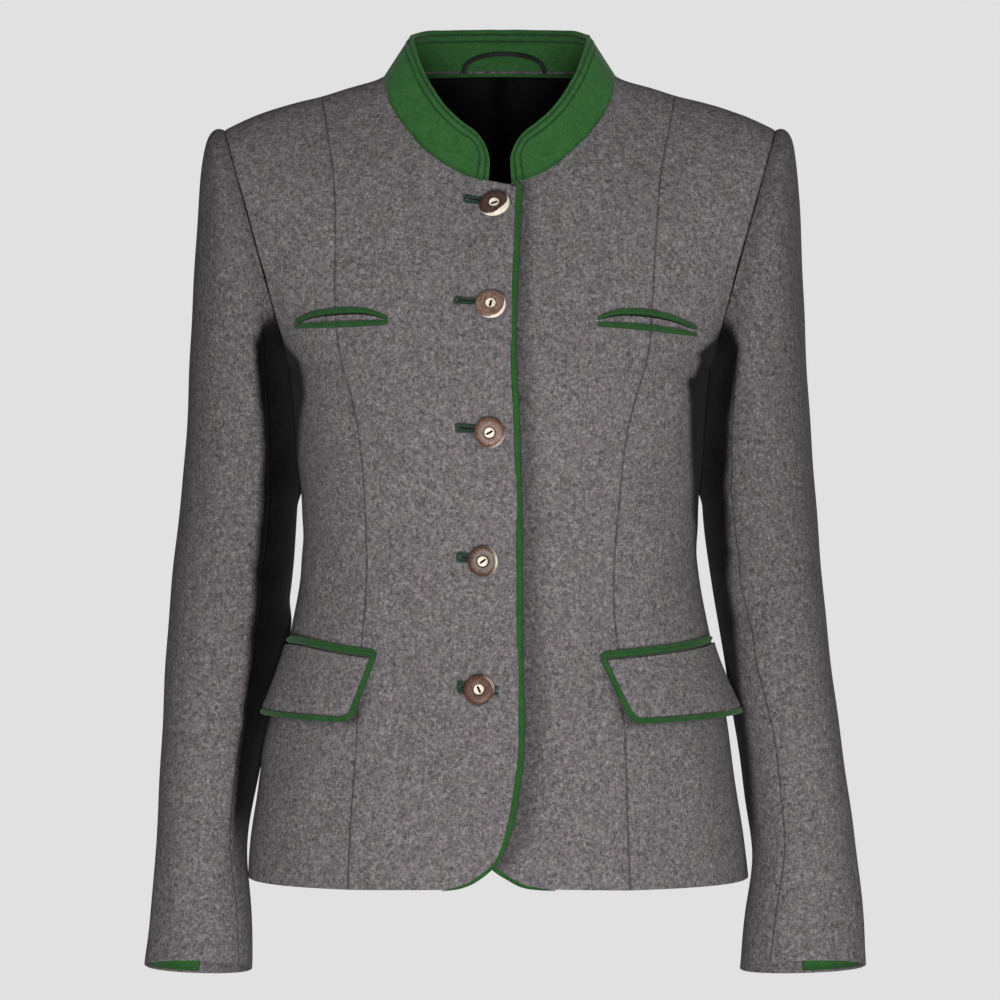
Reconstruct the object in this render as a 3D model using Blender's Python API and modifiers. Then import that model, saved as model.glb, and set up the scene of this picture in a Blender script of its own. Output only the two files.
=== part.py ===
"""A women's trachten jacket of grey loden with a green stand collar, bound front edges, welted
chest pockets, flapped waist pockets and five horn buttons, filled out as if worn.

Frame, in metres: +X is the wearer's left, the front faces -Y, +Z is up. The origin is in the
middle of the neck at the height where the shoulders carry the jacket. Every cloth piece is a
wall through sections that follow from the sizes and tables below. "right" and "left" are the
wearer's, and a table's x is measured outwards from the middle of the body on either side.
"""

import math

import bmesh
import bpy
import numpy as np

CLOTH = 0.0022  # loden wall
GAP = 0.0003  # between neighbours at a seam
BINDING_WIDTH = 0.0050
BINDING_THICK = 0.0030
COLLAR_THICK = 0.0030
COLLAR_END = 0.0085  # from the middle of the front to each collar end
COLLAR_ROUND = 0.024  # length over which the front corner of the collar is rounded
COLLAR_END_RISE = 0.014
COLLAR_CLEAR = 0.0014  # above the neckline
BUTTON_RADIUS = 0.0113
BUTTON_THICK = 0.0036
BUTTON_CLEAR = 0.0009
UNDERLAP = 0.0037  # how far the under front lies behind the upper one
WELT_CLEAR = 0.0008
WELT_THICK = 0.0016
FLAP_THICK = 0.0028
LINING_THICK = 0.0010
LINING_CLEAR = 0.0022
FACING_THICK = 0.0012
FACING_CLEAR = 0.0008

HEM = -0.5970
TIP = (0.2090, -0.0307)  # x, z of the shoulder tip
UNDERARM = (0.1585, -0.2120)
NECK_POINT = (0.0875, 0.0104)  # x, z where the shoulder seam meets the collar
NECK_BACK = 0.0160  # height of the back neckline at the middle
ARMHOLE_FRONT = 0.070
ARMHOLE_BACK = 0.074
ARMHOLE_BOW = 0.0015

# Horizontal sections of the body: half width at the side seam (armhole heights follow from the
# armhole instead), depth of the front and of the back, and how square each is.
BODY = ("z", "half_width", "front", "back", "front_square", "back_square")
BODY_ROWS = (
    (0.060, 0.1585, 0.0430, 0.0500, 2.30, 2.30),
    (0.010, 0.1585, 0.0475, 0.0560, 2.30, 2.30),
    (-0.020, 0.1585, 0.0545, 0.0640, 2.30, 2.35),
    (-0.050, 0.1585, 0.0670, 0.0755, 2.32, 2.40),
    (-0.080, 0.1585, 0.0800, 0.0860, 2.35, 2.45),
    (-0.110, 0.1585, 0.0925, 0.0930, 2.40, 2.50),
    (-0.140, 0.1585, 0.1035, 0.0970, 2.45, 2.50),
    (-0.170, 0.1585, 0.1130, 0.0980, 2.50, 2.50),
    (-0.212, 0.1585, 0.1230, 0.0950, 2.55, 2.45),
    (-0.250, 0.1560, 0.1262, 0.0895, 2.55, 2.40),
    (-0.290, 0.1528, 0.1200, 0.0830, 2.45, 2.35),
    (-0.330, 0.1496, 0.1110, 0.0790, 2.35, 2.30),
    (-0.370, 0.1512, 0.1050, 0.0790, 2.30, 2.30),
    (-0.410, 0.1585, 0.1055, 0.0850, 2.30, 2.35),
    (-0.450, 0.1668, 0.1100, 0.0945, 2.30, 2.40),
    (-0.500, 0.1752, 0.1165, 0.1045, 2.32, 2.40),
    (-0.550, 0.1822, 0.1225, 0.1105, 2.35, 2.40),
    (-0.600, 0.1888, 0.1270, 0.1140, 2.35, 2.40),
)

# How much further out the right side hangs than the left one.
HANG = ("z", "right_more")
HANG_ROWS = ((-0.400, 0.0), (-0.450, 0.0006), (-0.500, 0.0026), (-0.530, 0.0040), (-0.560, 0.0046), (-0.600, 0.0022))

# The top of the shoulder, from the middle outwards, and how it rolls over to front and back.
SHOULDER = ("x", "z", "reach", "round")
SHOULDER_ROWS = (
    (0.000, 0.0880, 0.115, 2.40),
    (0.030, 0.0740, 0.115, 2.40),
    (0.050, 0.0530, 0.115, 2.40),
    (0.065, 0.0325, 0.115, 2.40),
    (0.076, 0.0200, 0.115, 2.38),
    (0.0875, 0.0104, 0.113, 2.34),
    (0.100, 0.0056, 0.110, 2.28),
    (0.115, 0.0017, 0.106, 2.20),
    (0.130, -0.0030, 0.102, 2.12),
    (0.160, -0.0109, 0.095, 2.04),
    (0.185, -0.0194, 0.088, 2.00),
    (0.209, -0.0307, 0.085, 2.00),
    (0.240, -0.0460, 0.085, 2.00),
)

# The princess seam of each front.
PRINCESS = ("z", "right", "left")
PRINCESS_ROWS = (
    (-0.0060, 0.1348, 0.1322),
    (-0.0300, 0.1304, 0.1275),
    (-0.0600, 0.1255, 0.1212),
    (-0.1000, 0.1222, 0.1168),
    (-0.1450, 0.1222, 0.1136),
    (-0.1850, 0.1208, 0.1114),
    (-0.2100, 0.1172, 0.1080),
    (-0.2300, 0.1113, 0.1020),
    (-0.2550, 0.1057, 0.0950),
    (-0.2900, 0.1013, 0.0900),
    (-0.3350, 0.0992, 0.0860),
    (-0.3850, 0.0999, 0.0842),
    (-0.4300, 0.1032, 0.0878),
    (-0.4850, 0.1054, 0.0920),
    (-0.5400, 0.1078, 0.0936),
    (-0.6000, 0.1113, 0.0957),
)

# The outer edge of each front's binding: x measured from the middle towards the other side,
# from the hem round the corner and up to the neck.
EDGE = ("right", "right_z", "left", "left_z")
EDGE_ROWS = (
    (-0.0440, -0.5966, -0.0425, -0.5964),
    (-0.0335, -0.5957, -0.0265, -0.5957),
    (-0.0225, -0.5926, -0.0150, -0.5935),
    (-0.0110, -0.5855, -0.0050, -0.5883),
    (-0.0034, -0.5786, 0.0068, -0.5803),
    (0.0036, -0.5670, 0.0150, -0.5670),
    (0.0103, -0.5485, 0.0206, -0.5485),
    (0.0142, -0.5275, 0.0244, -0.5275),
    (0.0170, -0.5060, 0.0272, -0.5060),
    (0.0183, -0.4800, 0.0286, -0.4800),
    (0.0175, -0.4450, 0.0280, -0.4450),
    (0.0169, -0.3950, 0.0270, -0.3950),
    (0.0167, -0.3400, 0.0262, -0.3400),
    (0.0155, -0.2850, 0.0258, -0.2850),
    (0.0140, -0.2400, 0.0256, -0.2400),
    (0.0123, -0.2000, 0.0254, -0.2000),
    (0.0132, -0.1600, 0.0254, -0.1600),
    (0.0150, -0.1200, 0.0258, -0.1200),
    (0.0168, -0.0800, 0.0262, -0.0775),
)

# The neckline of a front, from the edge's top to the shoulder.
NECKLINE = ("x", "z")
NECKLINE_ROWS = (
    (0.0000, -0.0766),
    (0.0133, -0.0743),
    (0.0252, -0.0700),
    (0.0394, -0.0626),
    (0.0544, -0.0513),
    (0.0674, -0.0376),
    (0.0775, -0.0234),
    (0.0850, -0.0070),
    (0.0875, 0.0104),
)

# A sleeve, a row for each section from the armhole to the cuff: its outer and inner points, the
# middle and half of its depth, and how far its plane tips forwards.
SLEEVE = ("outer_right", "inner_right", "outer_left", "inner_left", "outer_z", "inner_z", "middle", "half_depth", "tip")
SLEEVE_ROWS = (
    (0.2090, 0.1585, 0.2090, 0.1585, -0.0307, -0.2120, 0.0000, 0.0640, 0.000),
    (0.2150, 0.1592, 0.2147, 0.1592, -0.0300, -0.2158, 0.0000, 0.0655, 0.000),
    (0.2213, 0.1594, 0.2208, 0.1594, -0.0362, -0.2202, 0.0005, 0.0680, 0.000),
    (0.2254, 0.1596, 0.2246, 0.1596, -0.0530, -0.2258, 0.0010, 0.0700, 0.000),
    (0.2288, 0.1591, 0.2274, 0.1591, -0.0850, -0.2335, 0.0020, 0.0715, 0.000),
    (0.2326, 0.1581, 0.2302, 0.1581, -0.1440, -0.2490, 0.0030, 0.0720, 0.000),
    (0.2360, 0.1564, 0.2330, 0.1564, -0.2060, -0.2710, 0.0045, 0.0710, 0.000),
    (0.2398, 0.1543, 0.2380, 0.1543, -0.2780, -0.3040, 0.0070, 0.0680, 0.000),
    (0.2480, 0.1570, 0.2442, 0.1580, -0.3530, -0.3530, 0.0100, 0.0645, 0.000),
    (0.2529, 0.1624, 0.2491, 0.1662, -0.4030, -0.4030, 0.0125, 0.0615, 0.000),
    (0.2559, 0.1700, 0.2543, 0.1735, -0.4500, -0.4500, 0.0125, 0.0580, 0.020),
    (0.2576, 0.1790, 0.2600, 0.1810, -0.4963, -0.4963, 0.0085, 0.0545, 0.060),
    (0.2593, 0.1876, 0.2653, 0.1868, -0.5400, -0.5400, 0.0010, 0.0515, 0.110),
    (0.2604, 0.1920, 0.2698, 0.1912, -0.5800, -0.5800, -0.0090, 0.0490, 0.160),
    (0.2629, 0.1878, 0.2730, 0.1858, -0.6195, -0.6205, -0.0190, 0.0470, 0.200),
    (0.2674, 0.1866, 0.2754, 0.1804, -0.6620, -0.6640, -0.0300, 0.0455, 0.225),
)
SLEEVE_SQUARE = 2.1

# Chest pockets: middle line of each welt, from the inner end to the outer one.
CHEST = ("x", "upper_z", "lower_z")
CHEST_ROWS = {
    "right": (
        (0.0818, -0.1785, -0.1818),
        (0.0950, -0.1738, -0.1820),
        (0.1090, -0.1722, -0.1823),
        (0.1250, -0.1728, -0.1825),
        (0.1400, -0.1752, -0.1826),
        (0.1515, -0.1800, -0.1828),
    ),
    "left": (
        (0.0713, -0.1790, -0.1832),
        (0.0830, -0.1748, -0.1836),
        (0.0963, -0.1735, -0.1842),
        (0.1139, -0.1748, -0.1856),
        (0.1290, -0.1782, -0.1872),
        (0.1455, -0.1845, -0.1892),
    ),
}
CHEST_WELT = 0.0048  # height of one welt in its middle

# Waist pockets: the lines from the inner end to the outer one, where the outer end is so far
# round the side that it reaches OUTER_END degrees of the section.
WAIST = ("welt_top", "welt_bottom", "flap_bottom", "flare")
WAIST_ROWS = {
    "right": ((-0.4214, -0.4275, -0.4745, 0.0018), (-0.4142, -0.4205, -0.4712, 0.0068)),
    "left": ((-0.4228, -0.4290, -0.4755, 0.0020), (-0.4125, -0.4185, -0.4712, 0.0100)),
}
WAIST_INNER = {"right": (0.0905, 0.1052), "left": (0.0735, 0.0930)}  # x at the top and bottom
OUTER_END = {"right": 81.0, "left": 80.0}
FLAP_ROUND = 0.011

BUTTONS = ("x", "z", "turn", "lean")  # lean and turn: how a loosely sewn button tips
BUTTON_ROWS = (
    (-0.0039, -0.0948, 140.0, 13.0),
    (-0.0068, -0.1690, 120.0, 4.0),
    (-0.0076, -0.2622, 160.0, 3.0),
    (-0.0125, -0.3560, 200.0, 3.0),
    (-0.0152, -0.4508, 150.0, 4.0),
)

GREY = (0.125, 0.118, 0.120)
GREEN = (0.022, 0.110, 0.030)
BLACK = (0.006, 0.006, 0.006)
HORN = (0.100, 0.055, 0.035)

SIDES = {"right": -1.0, "left": 1.0}


# --- curves through tables ---------------------------------------------------------------------


def column(names, rows, name):
    return np.array([row[names.index(name)] for row in rows], float)


def spline(xs, ys):
    """A smooth curve y(x) through the points, level with its ends outside them."""
    xs, ys = np.asarray(xs, float), np.asarray(ys, float)
    if xs[0] > xs[-1]:
        xs, ys = xs[::-1], ys[::-1]
    steps = np.diff(xs)
    count = len(xs)
    matrix, right = np.eye(count), np.zeros(count)
    for i in range(1, count - 1):
        matrix[i, i - 1 : i + 2] = steps[i - 1], 2 * (steps[i - 1] + steps[i]), steps[i]
        right[i] = 6 * ((ys[i + 1] - ys[i]) / steps[i] - (ys[i] - ys[i - 1]) / steps[i - 1])
    bend = np.linalg.solve(matrix, right)

    def at(x):
        x = np.clip(x, xs[0], xs[-1])
        i = np.clip(np.searchsorted(xs, x) - 1, 0, count - 2)
        h, a, b = steps[i], xs[i + 1] - x, x - xs[i]
        return (
            bend[i] * a**3 / (6 * h)
            + bend[i + 1] * b**3 / (6 * h)
            + (ys[i] / h - bend[i] * h / 6) * a
            + (ys[i + 1] / h - bend[i + 1] * h / 6) * b
        )

    return at


def through(points):
    """A smooth curve through points in space or a plane, as a function of 0 to 1 of its length."""
    points = np.asarray(points, float)
    knots = np.concatenate([[0], np.cumsum(np.linalg.norm(np.diff(points, axis=0), axis=1))])
    parts = [spline(knots, points[:, k]) for k in range(points.shape[1])]
    fine = np.linspace(0, knots[-1], 400)
    dense = np.stack([part(fine) for part in parts], axis=1)
    length = np.concatenate([[0], np.cumsum(np.linalg.norm(np.diff(dense, axis=0), axis=1))])

    def at(share):
        where = np.interp(np.asarray(share) * length[-1], length, fine)
        return np.stack([part(where) for part in parts], axis=-1)

    at.length = length[-1]
    return at


def lerp(a, b, t):
    return a + (b - a) * t


def ease(t):
    t = np.clip(t, 0, 1)
    return t * t * (3 - 2 * t)


HEIGHTS = column(BODY, BODY_ROWS, "z")
side_width = spline(HEIGHTS, column(BODY, BODY_ROWS, "half_width"))
DEPTH = {"front": spline(HEIGHTS, column(BODY, BODY_ROWS, "front")), "back": spline(HEIGHTS, column(BODY, BODY_ROWS, "back"))}
SQUARE = {
    "front": spline(HEIGHTS, column(BODY, BODY_ROWS, "front_square")),
    "back": spline(HEIGHTS, column(BODY, BODY_ROWS, "back_square")),
}
SHOULDER_X = column(SHOULDER, SHOULDER_ROWS, "x")
shoulder_reach = spline(SHOULDER_X, column(SHOULDER, SHOULDER_ROWS, "reach"))
shoulder_round = spline(SHOULDER_X, column(SHOULDER, SHOULDER_ROWS, "round"))
shoulder_line = spline(SHOULDER_X, column(SHOULDER, SHOULDER_ROWS, "z"))


def shoulder_top(x):
    return shoulder_line(np.abs(x))


def roll(x, z):
    """1 on the body, falling to 0 where a section reaches the top of the shoulder."""
    part = np.clip((shoulder_top(x) - z) / shoulder_reach(np.abs(x)), 0, 1)
    return (1 - (1 - part) ** 2) ** (1 / shoulder_round(np.abs(x)))


def armhole(angle, face):
    """The armhole seam: 0 at the shoulder tip, pi under the arm; (x, y, z) with x outwards."""
    share = (1 - np.cos(angle)) / 2
    depth = ARMHOLE_FRONT if face == "front" else ARMHOLE_BACK
    x = lerp(TIP[0], UNDERARM[0], share) - ARMHOLE_BOW * np.sin(angle) ** 2
    y = depth * np.sin(angle) * (1 - 0.30 * np.cos(angle / 2) ** 2)
    return np.stack([x, -y if face == "front" else y, lerp(TIP[1], UNDERARM[1], share)], axis=-1)


def reach_of(face):
    """Half width of the full section at armhole heights, so that it passes through the seam."""
    angles = np.linspace(0.12, math.pi, 240)
    x, y, z = np.moveaxis(armhole(angles, face), -1, 0)
    square = SQUARE[face](z)
    part = np.clip(np.abs(y) / (DEPTH[face](z) * roll(x, z)), 0, 0.97)
    width = x / (1 - part**square) ** (1 / square)
    order = np.argsort(z)
    return z[order], width[order]


REACH = {face: reach_of(face) for face in ("front", "back")}


def half_width(z, face):
    zs, widths = REACH[face]
    return np.where(np.asarray(z) <= UNDERARM[1], side_width(z), np.interp(z, zs, widths))


def section_angle(x, z, face):
    share = np.clip(np.abs(x) / half_width(z, face), 0, 1)
    return np.arcsin(share ** (SQUARE[face](z) / 2))


def on_section(angle, z, face):
    """The point of the body's section at height z: 0 is the middle, pi / 2 the side."""
    square = SQUARE[face](z)
    x = half_width(z, face) * np.sin(angle) ** (2 / square)
    y = DEPTH[face](z) * roll(x, z) * np.clip(np.cos(angle), 0, 1) ** (2 / square)
    return np.stack([x, -y if face == "front" else y, z + 0 * x], axis=-1)


def on_body(x, z, face):
    square = SQUARE[face](z)
    share = np.clip(np.abs(x) / half_width(z, face), 0, 1)
    y = DEPTH[face](z) * roll(x, z) * (1 - share**square) ** (1 / square)
    return np.stack([x + 0 * y, -y if face == "front" else y, z + 0 * y], axis=-1)


def body_normal(points, face):
    """Outward normals of the body at its points."""

    def field(p):
        x, y, z = p[..., 0], p[..., 1], p[..., 2]
        square = SQUARE[face](z)
        depth = np.maximum(DEPTH[face](z) * roll(x, z), 1e-4)
        return (np.abs(x) / half_width(z, face)) ** square + (np.abs(y) / depth) ** square

    step = 4e-5
    away = points.copy()
    # A point on the shoulder's top is read from just beside it.
    low = shoulder_top(points[..., 0]) - points[..., 2] < 6e-4
    away[..., 2] = np.where(low, points[..., 2] - 6e-4, points[..., 2])
    if low.any():
        beside = on_body(away[..., 0], away[..., 2], face)
        away = np.where(low[..., None], beside, away)
    normal = np.stack(
        [field(away + step * axis) - field(away - step * axis) for axis in np.eye(3)], axis=-1
    )
    normal /= np.linalg.norm(normal, axis=-1, keepdims=True)
    slope = (shoulder_top(points[..., 0] + 1e-3) - shoulder_top(points[..., 0] - 1e-3)) / 2e-3
    top = np.stack([-slope, 0 * slope, 1 + 0 * slope], axis=-1)
    top /= np.linalg.norm(top, axis=-1, keepdims=True)
    return np.where(low[..., None], top, normal)


right_more = spline(column(HANG, HANG_ROWS, "z"), column(HANG, HANG_ROWS, "right_more"))


def mirrored(points, side):
    return points * np.array([SIDES[side], 1.0, 1.0])


def hung(points, side):
    """A body piece's points, mirrored to their side and hung as that side hangs."""
    points = mirrored(points, side)
    z = points[..., 2]
    out = np.clip(-points[..., 0] / half_width(z, "front"), 0, 1.2)
    return points - np.stack([right_more(z) * (z < HANG_ROWS[0][0]) * out**2, 0 * z, 0 * z], axis=-1)


# --- making objects ----------------------------------------------------------------------------

for old in list(bpy.data.objects):
    bpy.data.objects.remove(old, do_unlink=True)
for old in list(bpy.data.meshes):
    bpy.data.meshes.remove(old)

jacket = bpy.data.collections.new("trachten_jacket")
bpy.context.scene.collection.children.link(jacket)


def material(name, colour, roughness):
    made = bpy.data.materials.new(name)
    made.use_nodes = True
    shader = made.node_tree.nodes["Principled BSDF"]
    shader.inputs["Base Color"].default_value = (*colour, 1.0)
    shader.inputs["Roughness"].default_value = roughness
    shader.inputs["Metallic"].default_value = 0.0
    return made


FINISH = {
    "loden": (GREY, 0.95),
    "felt": (GREEN, 0.92),
    "lining": (BLACK, 0.55),
    "horn": (HORN, 0.38),
}


def placed(name, mesh, finish):
    thing = bpy.data.objects.new(name, mesh)
    jacket.objects.link(thing)
    mesh.materials.append(material(name, *FINISH[finish]))
    mesh.shade_smooth()
    mesh.set_sharp_from_angle(angle=math.radians(45))
    return thing


def grid_faces(bm, verts):
    rows, cols = len(verts), len(verts[0])
    for i in range(rows - 1):
        for j in range(cols - 1):
            bm.faces.new((verts[i][j], verts[i][j + 1], verts[i + 1][j + 1], verts[i + 1][j]))


def wall(name, outer, normals, thick, finish):
    """A cloth wall lofted between two skins. Neighbours share their normals at a seam, so their
    edges stay parallel through the cloth."""
    bm = bmesh.new()
    rows, cols = outer.shape[:2]
    skins = []
    for skin in (outer, outer - thick * normals):
        skins.append([[bm.verts.new(skin[i, j]) for j in range(cols)] for i in range(rows)])
        grid_faces(bm, skins[-1])
    rim = [(i, 0) for i in range(rows)] + [(rows - 1, j) for j in range(1, cols)]
    rim += [(i, cols - 1) for i in range(rows - 2, -1, -1)] + [(0, j) for j in range(cols - 2, 0, -1)]
    for (i, j), (k, m) in zip(rim, rim[1:] + rim[:1]):
        bm.faces.new((skins[0][i][j], skins[0][k][m], skins[1][k][m], skins[1][i][j]))
    bmesh.ops.recalc_face_normals(bm, faces=bm.faces)
    mesh = bpy.data.meshes.new(name)
    bm.to_mesh(mesh)
    bm.free()
    return placed(name, mesh, finish)


def layer(name, points, thick, finish):
    """An open grid of points, thickened on the side that the body faces."""
    bm = bmesh.new()
    rows, cols = points.shape[:2]
    grid_faces(bm, [[bm.verts.new(points[i, j]) for j in range(cols)] for i in range(rows)])
    bmesh.ops.recalc_face_normals(bm, faces=bm.faces)
    mesh = bpy.data.meshes.new(name)
    bm.to_mesh(mesh)
    bm.free()
    thing = placed(name, mesh, finish)
    solid = thing.modifiers.new("Solidify", "SOLIDIFY")
    solid.thickness = thick
    solid.offset = 0
    solid.use_even_offset = True
    return thing


def strip(name, middle, across, normal, widths, thick, finish):
    """A bound edge: a rounded flat section swept along a line."""
    bm = bmesh.new()
    rings = []
    for point, side, out, width in zip(middle, across, normal, widths):
        ring = []
        for angle in np.arange(6) * math.pi / 3:
            flat = math.copysign(abs(math.cos(angle)) ** 0.6, math.cos(angle))
            ring.append(bm.verts.new(point + side * flat * width / 2 + out * math.sin(angle) * thick / math.sqrt(3)))
        rings.append(ring)
    for one, two in zip(rings, rings[1:]):
        for k in range(6):
            bm.faces.new((one[k], one[(k + 1) % 6], two[(k + 1) % 6], two[k]))
    bm.faces.new(rings[0])
    bm.faces.new(rings[-1])
    bmesh.ops.recalc_face_normals(bm, faces=bm.faces)
    mesh = bpy.data.meshes.new(name)
    bm.to_mesh(mesh)
    bm.free()
    return placed(name, mesh, finish)


def trimmed(outer, normals, sides="lrtb", gap=GAP / 2):
    """The grid with its outline drawn in by half a seam gap."""
    outer, normals = outer.copy(), normals.copy()
    for key, here, nearby in (
        ("l", np.s_[:, 0], np.s_[:, 1]),
        ("r", np.s_[:, -1], np.s_[:, -2]),
        ("b", np.s_[0], np.s_[1]),
        ("t", np.s_[-1], np.s_[-2]),
    ):
        if key in sides:
            inwards = outer[nearby] - outer[here]
            inwards /= np.linalg.norm(inwards, axis=-1, keepdims=True)
            outer[here] += gap * inwards
    return outer, normals


# --- fronts ------------------------------------------------------------------------------------

# Heights along the side and princess seams, from the hem to under the arm.
LOWER = np.array(
    [HEM, -0.591, -0.580, -0.565, -0.545, -0.515, -0.480, -0.440, -0.400, -0.360, -0.320, -0.285, -0.258, -0.234, UNDERARM[1]]
)
SIDE_ROWS = len(LOWER)
# Shares of the front edge's length where the same rows meet it, closer together round the corner.
EDGE_SHARES = np.array(
    [0, 0.030, 0.058, 0.086, 0.120, 0.170, 0.235, 0.310, 0.385, 0.460, 0.535, 0.600, 0.650, 0.700, 0.750, 0.800, 0.860, 0.925, 1.0]
)
# Heights along the princess seam beside the armhole, up to the height of the front neck, and on.
MIDDLE = np.array([-0.188, -0.162, -0.135, -0.105])
PRINCESS_TOP = -0.0060
UPPER = np.linspace(-0.105, PRINCESS_TOP, 7)[1:]
SEAM_HEIGHTS = np.concatenate([LOWER, MIDDLE, UPPER])
ARM_ANGLES = math.pi * (PRINCESS_TOP - SEAM_HEIGHTS[SIDE_ROWS - 1 :]) / (PRINCESS_TOP - UNDERARM[1])

princess_x = {
    side: spline(column(PRINCESS, PRINCESS_ROWS, "z"), column(PRINCESS, PRINCESS_ROWS, side)) for side in SIDES
}


def front_edge(side):
    rows = [(-row[EDGE.index(side)], row[EDGE.index(side + "_z")]) for row in EDGE_ROWS]
    return through(rows)


def neck_curve(side, inset=0.0):
    top = -EDGE_ROWS[-1][EDGE.index(side)] + inset
    return through([(top, EDGE_ROWS[-1][EDGE.index(side + "_z")]), *NECKLINE_ROWS])


def turned(line):
    """Unit vectors along and square to a line in the plane of the front (x, z)."""
    along = np.gradient(line, axis=0)
    along /= np.linalg.norm(along, axis=1, keepdims=True)
    return along, np.stack([-along[:, 1], along[:, 0]], axis=1)


def binding_width(share):
    """Full width up the front, and narrow where it runs out along the hem."""
    return BINDING_WIDTH * lerp(0.40, 1.0, ease(np.asarray(share) / 0.16))


def underlap(x):
    """How far behind the body's surface the under front lies; x towards the wearer's left."""
    return UNDERLAP * ease((0.052 - x) / 0.030)


def shoulder_fit(plan):
    """Near the shoulder the rows keep their distance below it, so that they don't cross it."""
    x, z = plan[..., 0], plan[..., 1]
    top = np.minimum(shoulder_top(x), NECK_POINT[1] + 0.8 * (NECK_POINT[0] - np.abs(x)).clip(0))
    top = np.where(np.abs(x) < NECK_POINT[0], top, shoulder_top(x))
    drop = top - z
    along = np.linspace(0, 1, plan.shape[1])
    even = lerp(drop[:, :1], drop[:, -1:], along)
    back = plan.shape[0] - 1 - np.arange(plan.shape[0])
    share = np.clip(1.2 - back / 5, 0, 1)[:, None]
    fitted = lerp(z, top - even, share)
    return np.stack([x, fitted], axis=-1)


def front_centre(side, cols):
    """Rows run from the front edge or the neckline to the princess seam."""
    edge = front_edge(side)
    fine = np.linspace(0, 1, 400)
    line = edge(fine)
    _, inwards = turned(line)
    inwards = -inwards if inwards[200, 0] < 0 else inwards
    inner = line + inwards * (binding_width(fine) + GAP)[:, None]
    lower = np.stack([np.interp(EDGE_SHARES, fine, inner[:, k]) for k in (0, 1)], axis=1)
    top = neck_curve(side, BINDING_WIDTH + GAP)
    lower[-1] = top(0.0)
    upper = top(np.linspace(0, 1, len(UPPER) + 1))[1:]
    left = np.concatenate([lower, upper])
    right = np.stack([princess_x[side](SEAM_HEIGHTS), SEAM_HEIGHTS], axis=1)
    right[-1, 1] = shoulder_top(right[-1, 0])
    s = np.linspace(0, 1, cols)[None, :, None]
    plan = shoulder_fit(left[:, None] * (1 - s) + right[:, None] * s)
    points = on_body(plan[..., 0], plan[..., 1], "front")
    normals = body_normal(points, "front")
    if side == "left":
        points -= normals * underlap(points[..., 0])[..., None]
    return points, normals


def arm_rows(points_left, face, cols):
    """Rows from the given seam line to the side seam, and above it to the armhole."""
    side_line = np.stack([side_width(LOWER), 0 * LOWER, LOWER], axis=1)
    arm = armhole(ARM_ANGLES[1:], face)
    arm[-1, 1] = 0
    right = np.concatenate([side_line, arm])
    start = section_angle(points_left[:, 0], points_left[:, 1], face)
    end = section_angle(right[:, 0], right[:, 2], face)
    end[:SIDE_ROWS] = math.pi / 2
    s = np.linspace(0, 1, cols)
    angles = lerp(start[:, None], end[:, None], s)
    heights = lerp(points_left[:, 1][:, None], right[:, 2][:, None], s)
    widths = half_width(heights, face) * np.sin(angles) ** (2 / SQUARE[face](heights))
    widths[-1] = lerp(points_left[-1, 0], right[-1, 0], s)
    plan = shoulder_fit(np.stack([widths, heights], axis=-1))
    points = on_body(plan[..., 0], plan[..., 1], face)
    points[:, -1] = right
    normals = body_normal(points, face)
    return points, normals


def front_side(side, cols):
    left = np.stack([princess_x[side](SEAM_HEIGHTS), SEAM_HEIGHTS], axis=1)
    left[-1, 1] = shoulder_top(left[-1, 0])
    return arm_rows(left, "front", cols)


def back_line():
    """The back's seam line from the hem up the middle, then along the neckline to the shoulder."""
    above = len(SEAM_HEIGHTS) - len(LOWER)
    rise = above - 5
    middle = np.linspace(UNDERARM[1], NECK_BACK, rise + 1)[1:]
    turn = np.linspace(0, math.pi / 2, 6)[1:]
    neck = np.stack([NECK_POINT[0] * np.sin(turn), lerp(NECK_POINT[1], NECK_BACK, np.cos(turn) ** 1.2)], axis=1)
    neck[-1] = NECK_POINT
    up = np.stack([0 * np.concatenate([LOWER, middle]), np.concatenate([LOWER, middle])], axis=1)
    return np.concatenate([up, neck])


def back_panel(cols):
    return arm_rows(back_line(), "back", cols)


for side in SIDES:
    outer, normals = trimmed(*front_centre(side, 7), sides="rt")
    wall(f"front_{side}_centre", hung(outer, side), mirrored(normals, side), CLOTH, "loden")
    outer, normals = trimmed(*front_side(side, 6), sides="lrt")
    wall(f"front_{side}_side", hung(outer, side), mirrored(normals, side), CLOTH, "loden")
    outer, normals = trimmed(*back_panel(9), sides="lrt")
    wall(f"back_{side}", hung(outer, side), mirrored(normals, side), CLOTH, "loden")


# --- back lining -------------------------------------------------------------------------------


def lining():
    points, normals = back_panel(9)
    keep = [0, 3, 5, 7, 8, 9, 10, 12, 14, 16, 18, 19, 20, 21, 22, 24]
    points, normals = points[keep], normals[keep]
    for here, nearby, amount in (
        (np.s_[:, 0], np.s_[:, 1], 0.0002),
        (np.s_[:, -1], np.s_[:, -2], 0.007),
        (np.s_[0], np.s_[1], 0.014),
        (np.s_[-1], np.s_[-2], 0.006),
    ):
        inwards = points[nearby] - points[here]
        inwards /= np.linalg.norm(inwards, axis=-1, keepdims=True)
        points[here] += amount * inwards
    points = points - normals * (CLOTH + LINING_CLEAR)
    return points, normals


for side in SIDES:
    points, normals = lining()
    wall(f"lining_back_{side}", hung(points, side), mirrored(normals, side), LINING_THICK, "lining")


# --- bound front edges -------------------------------------------------------------------------


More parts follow.
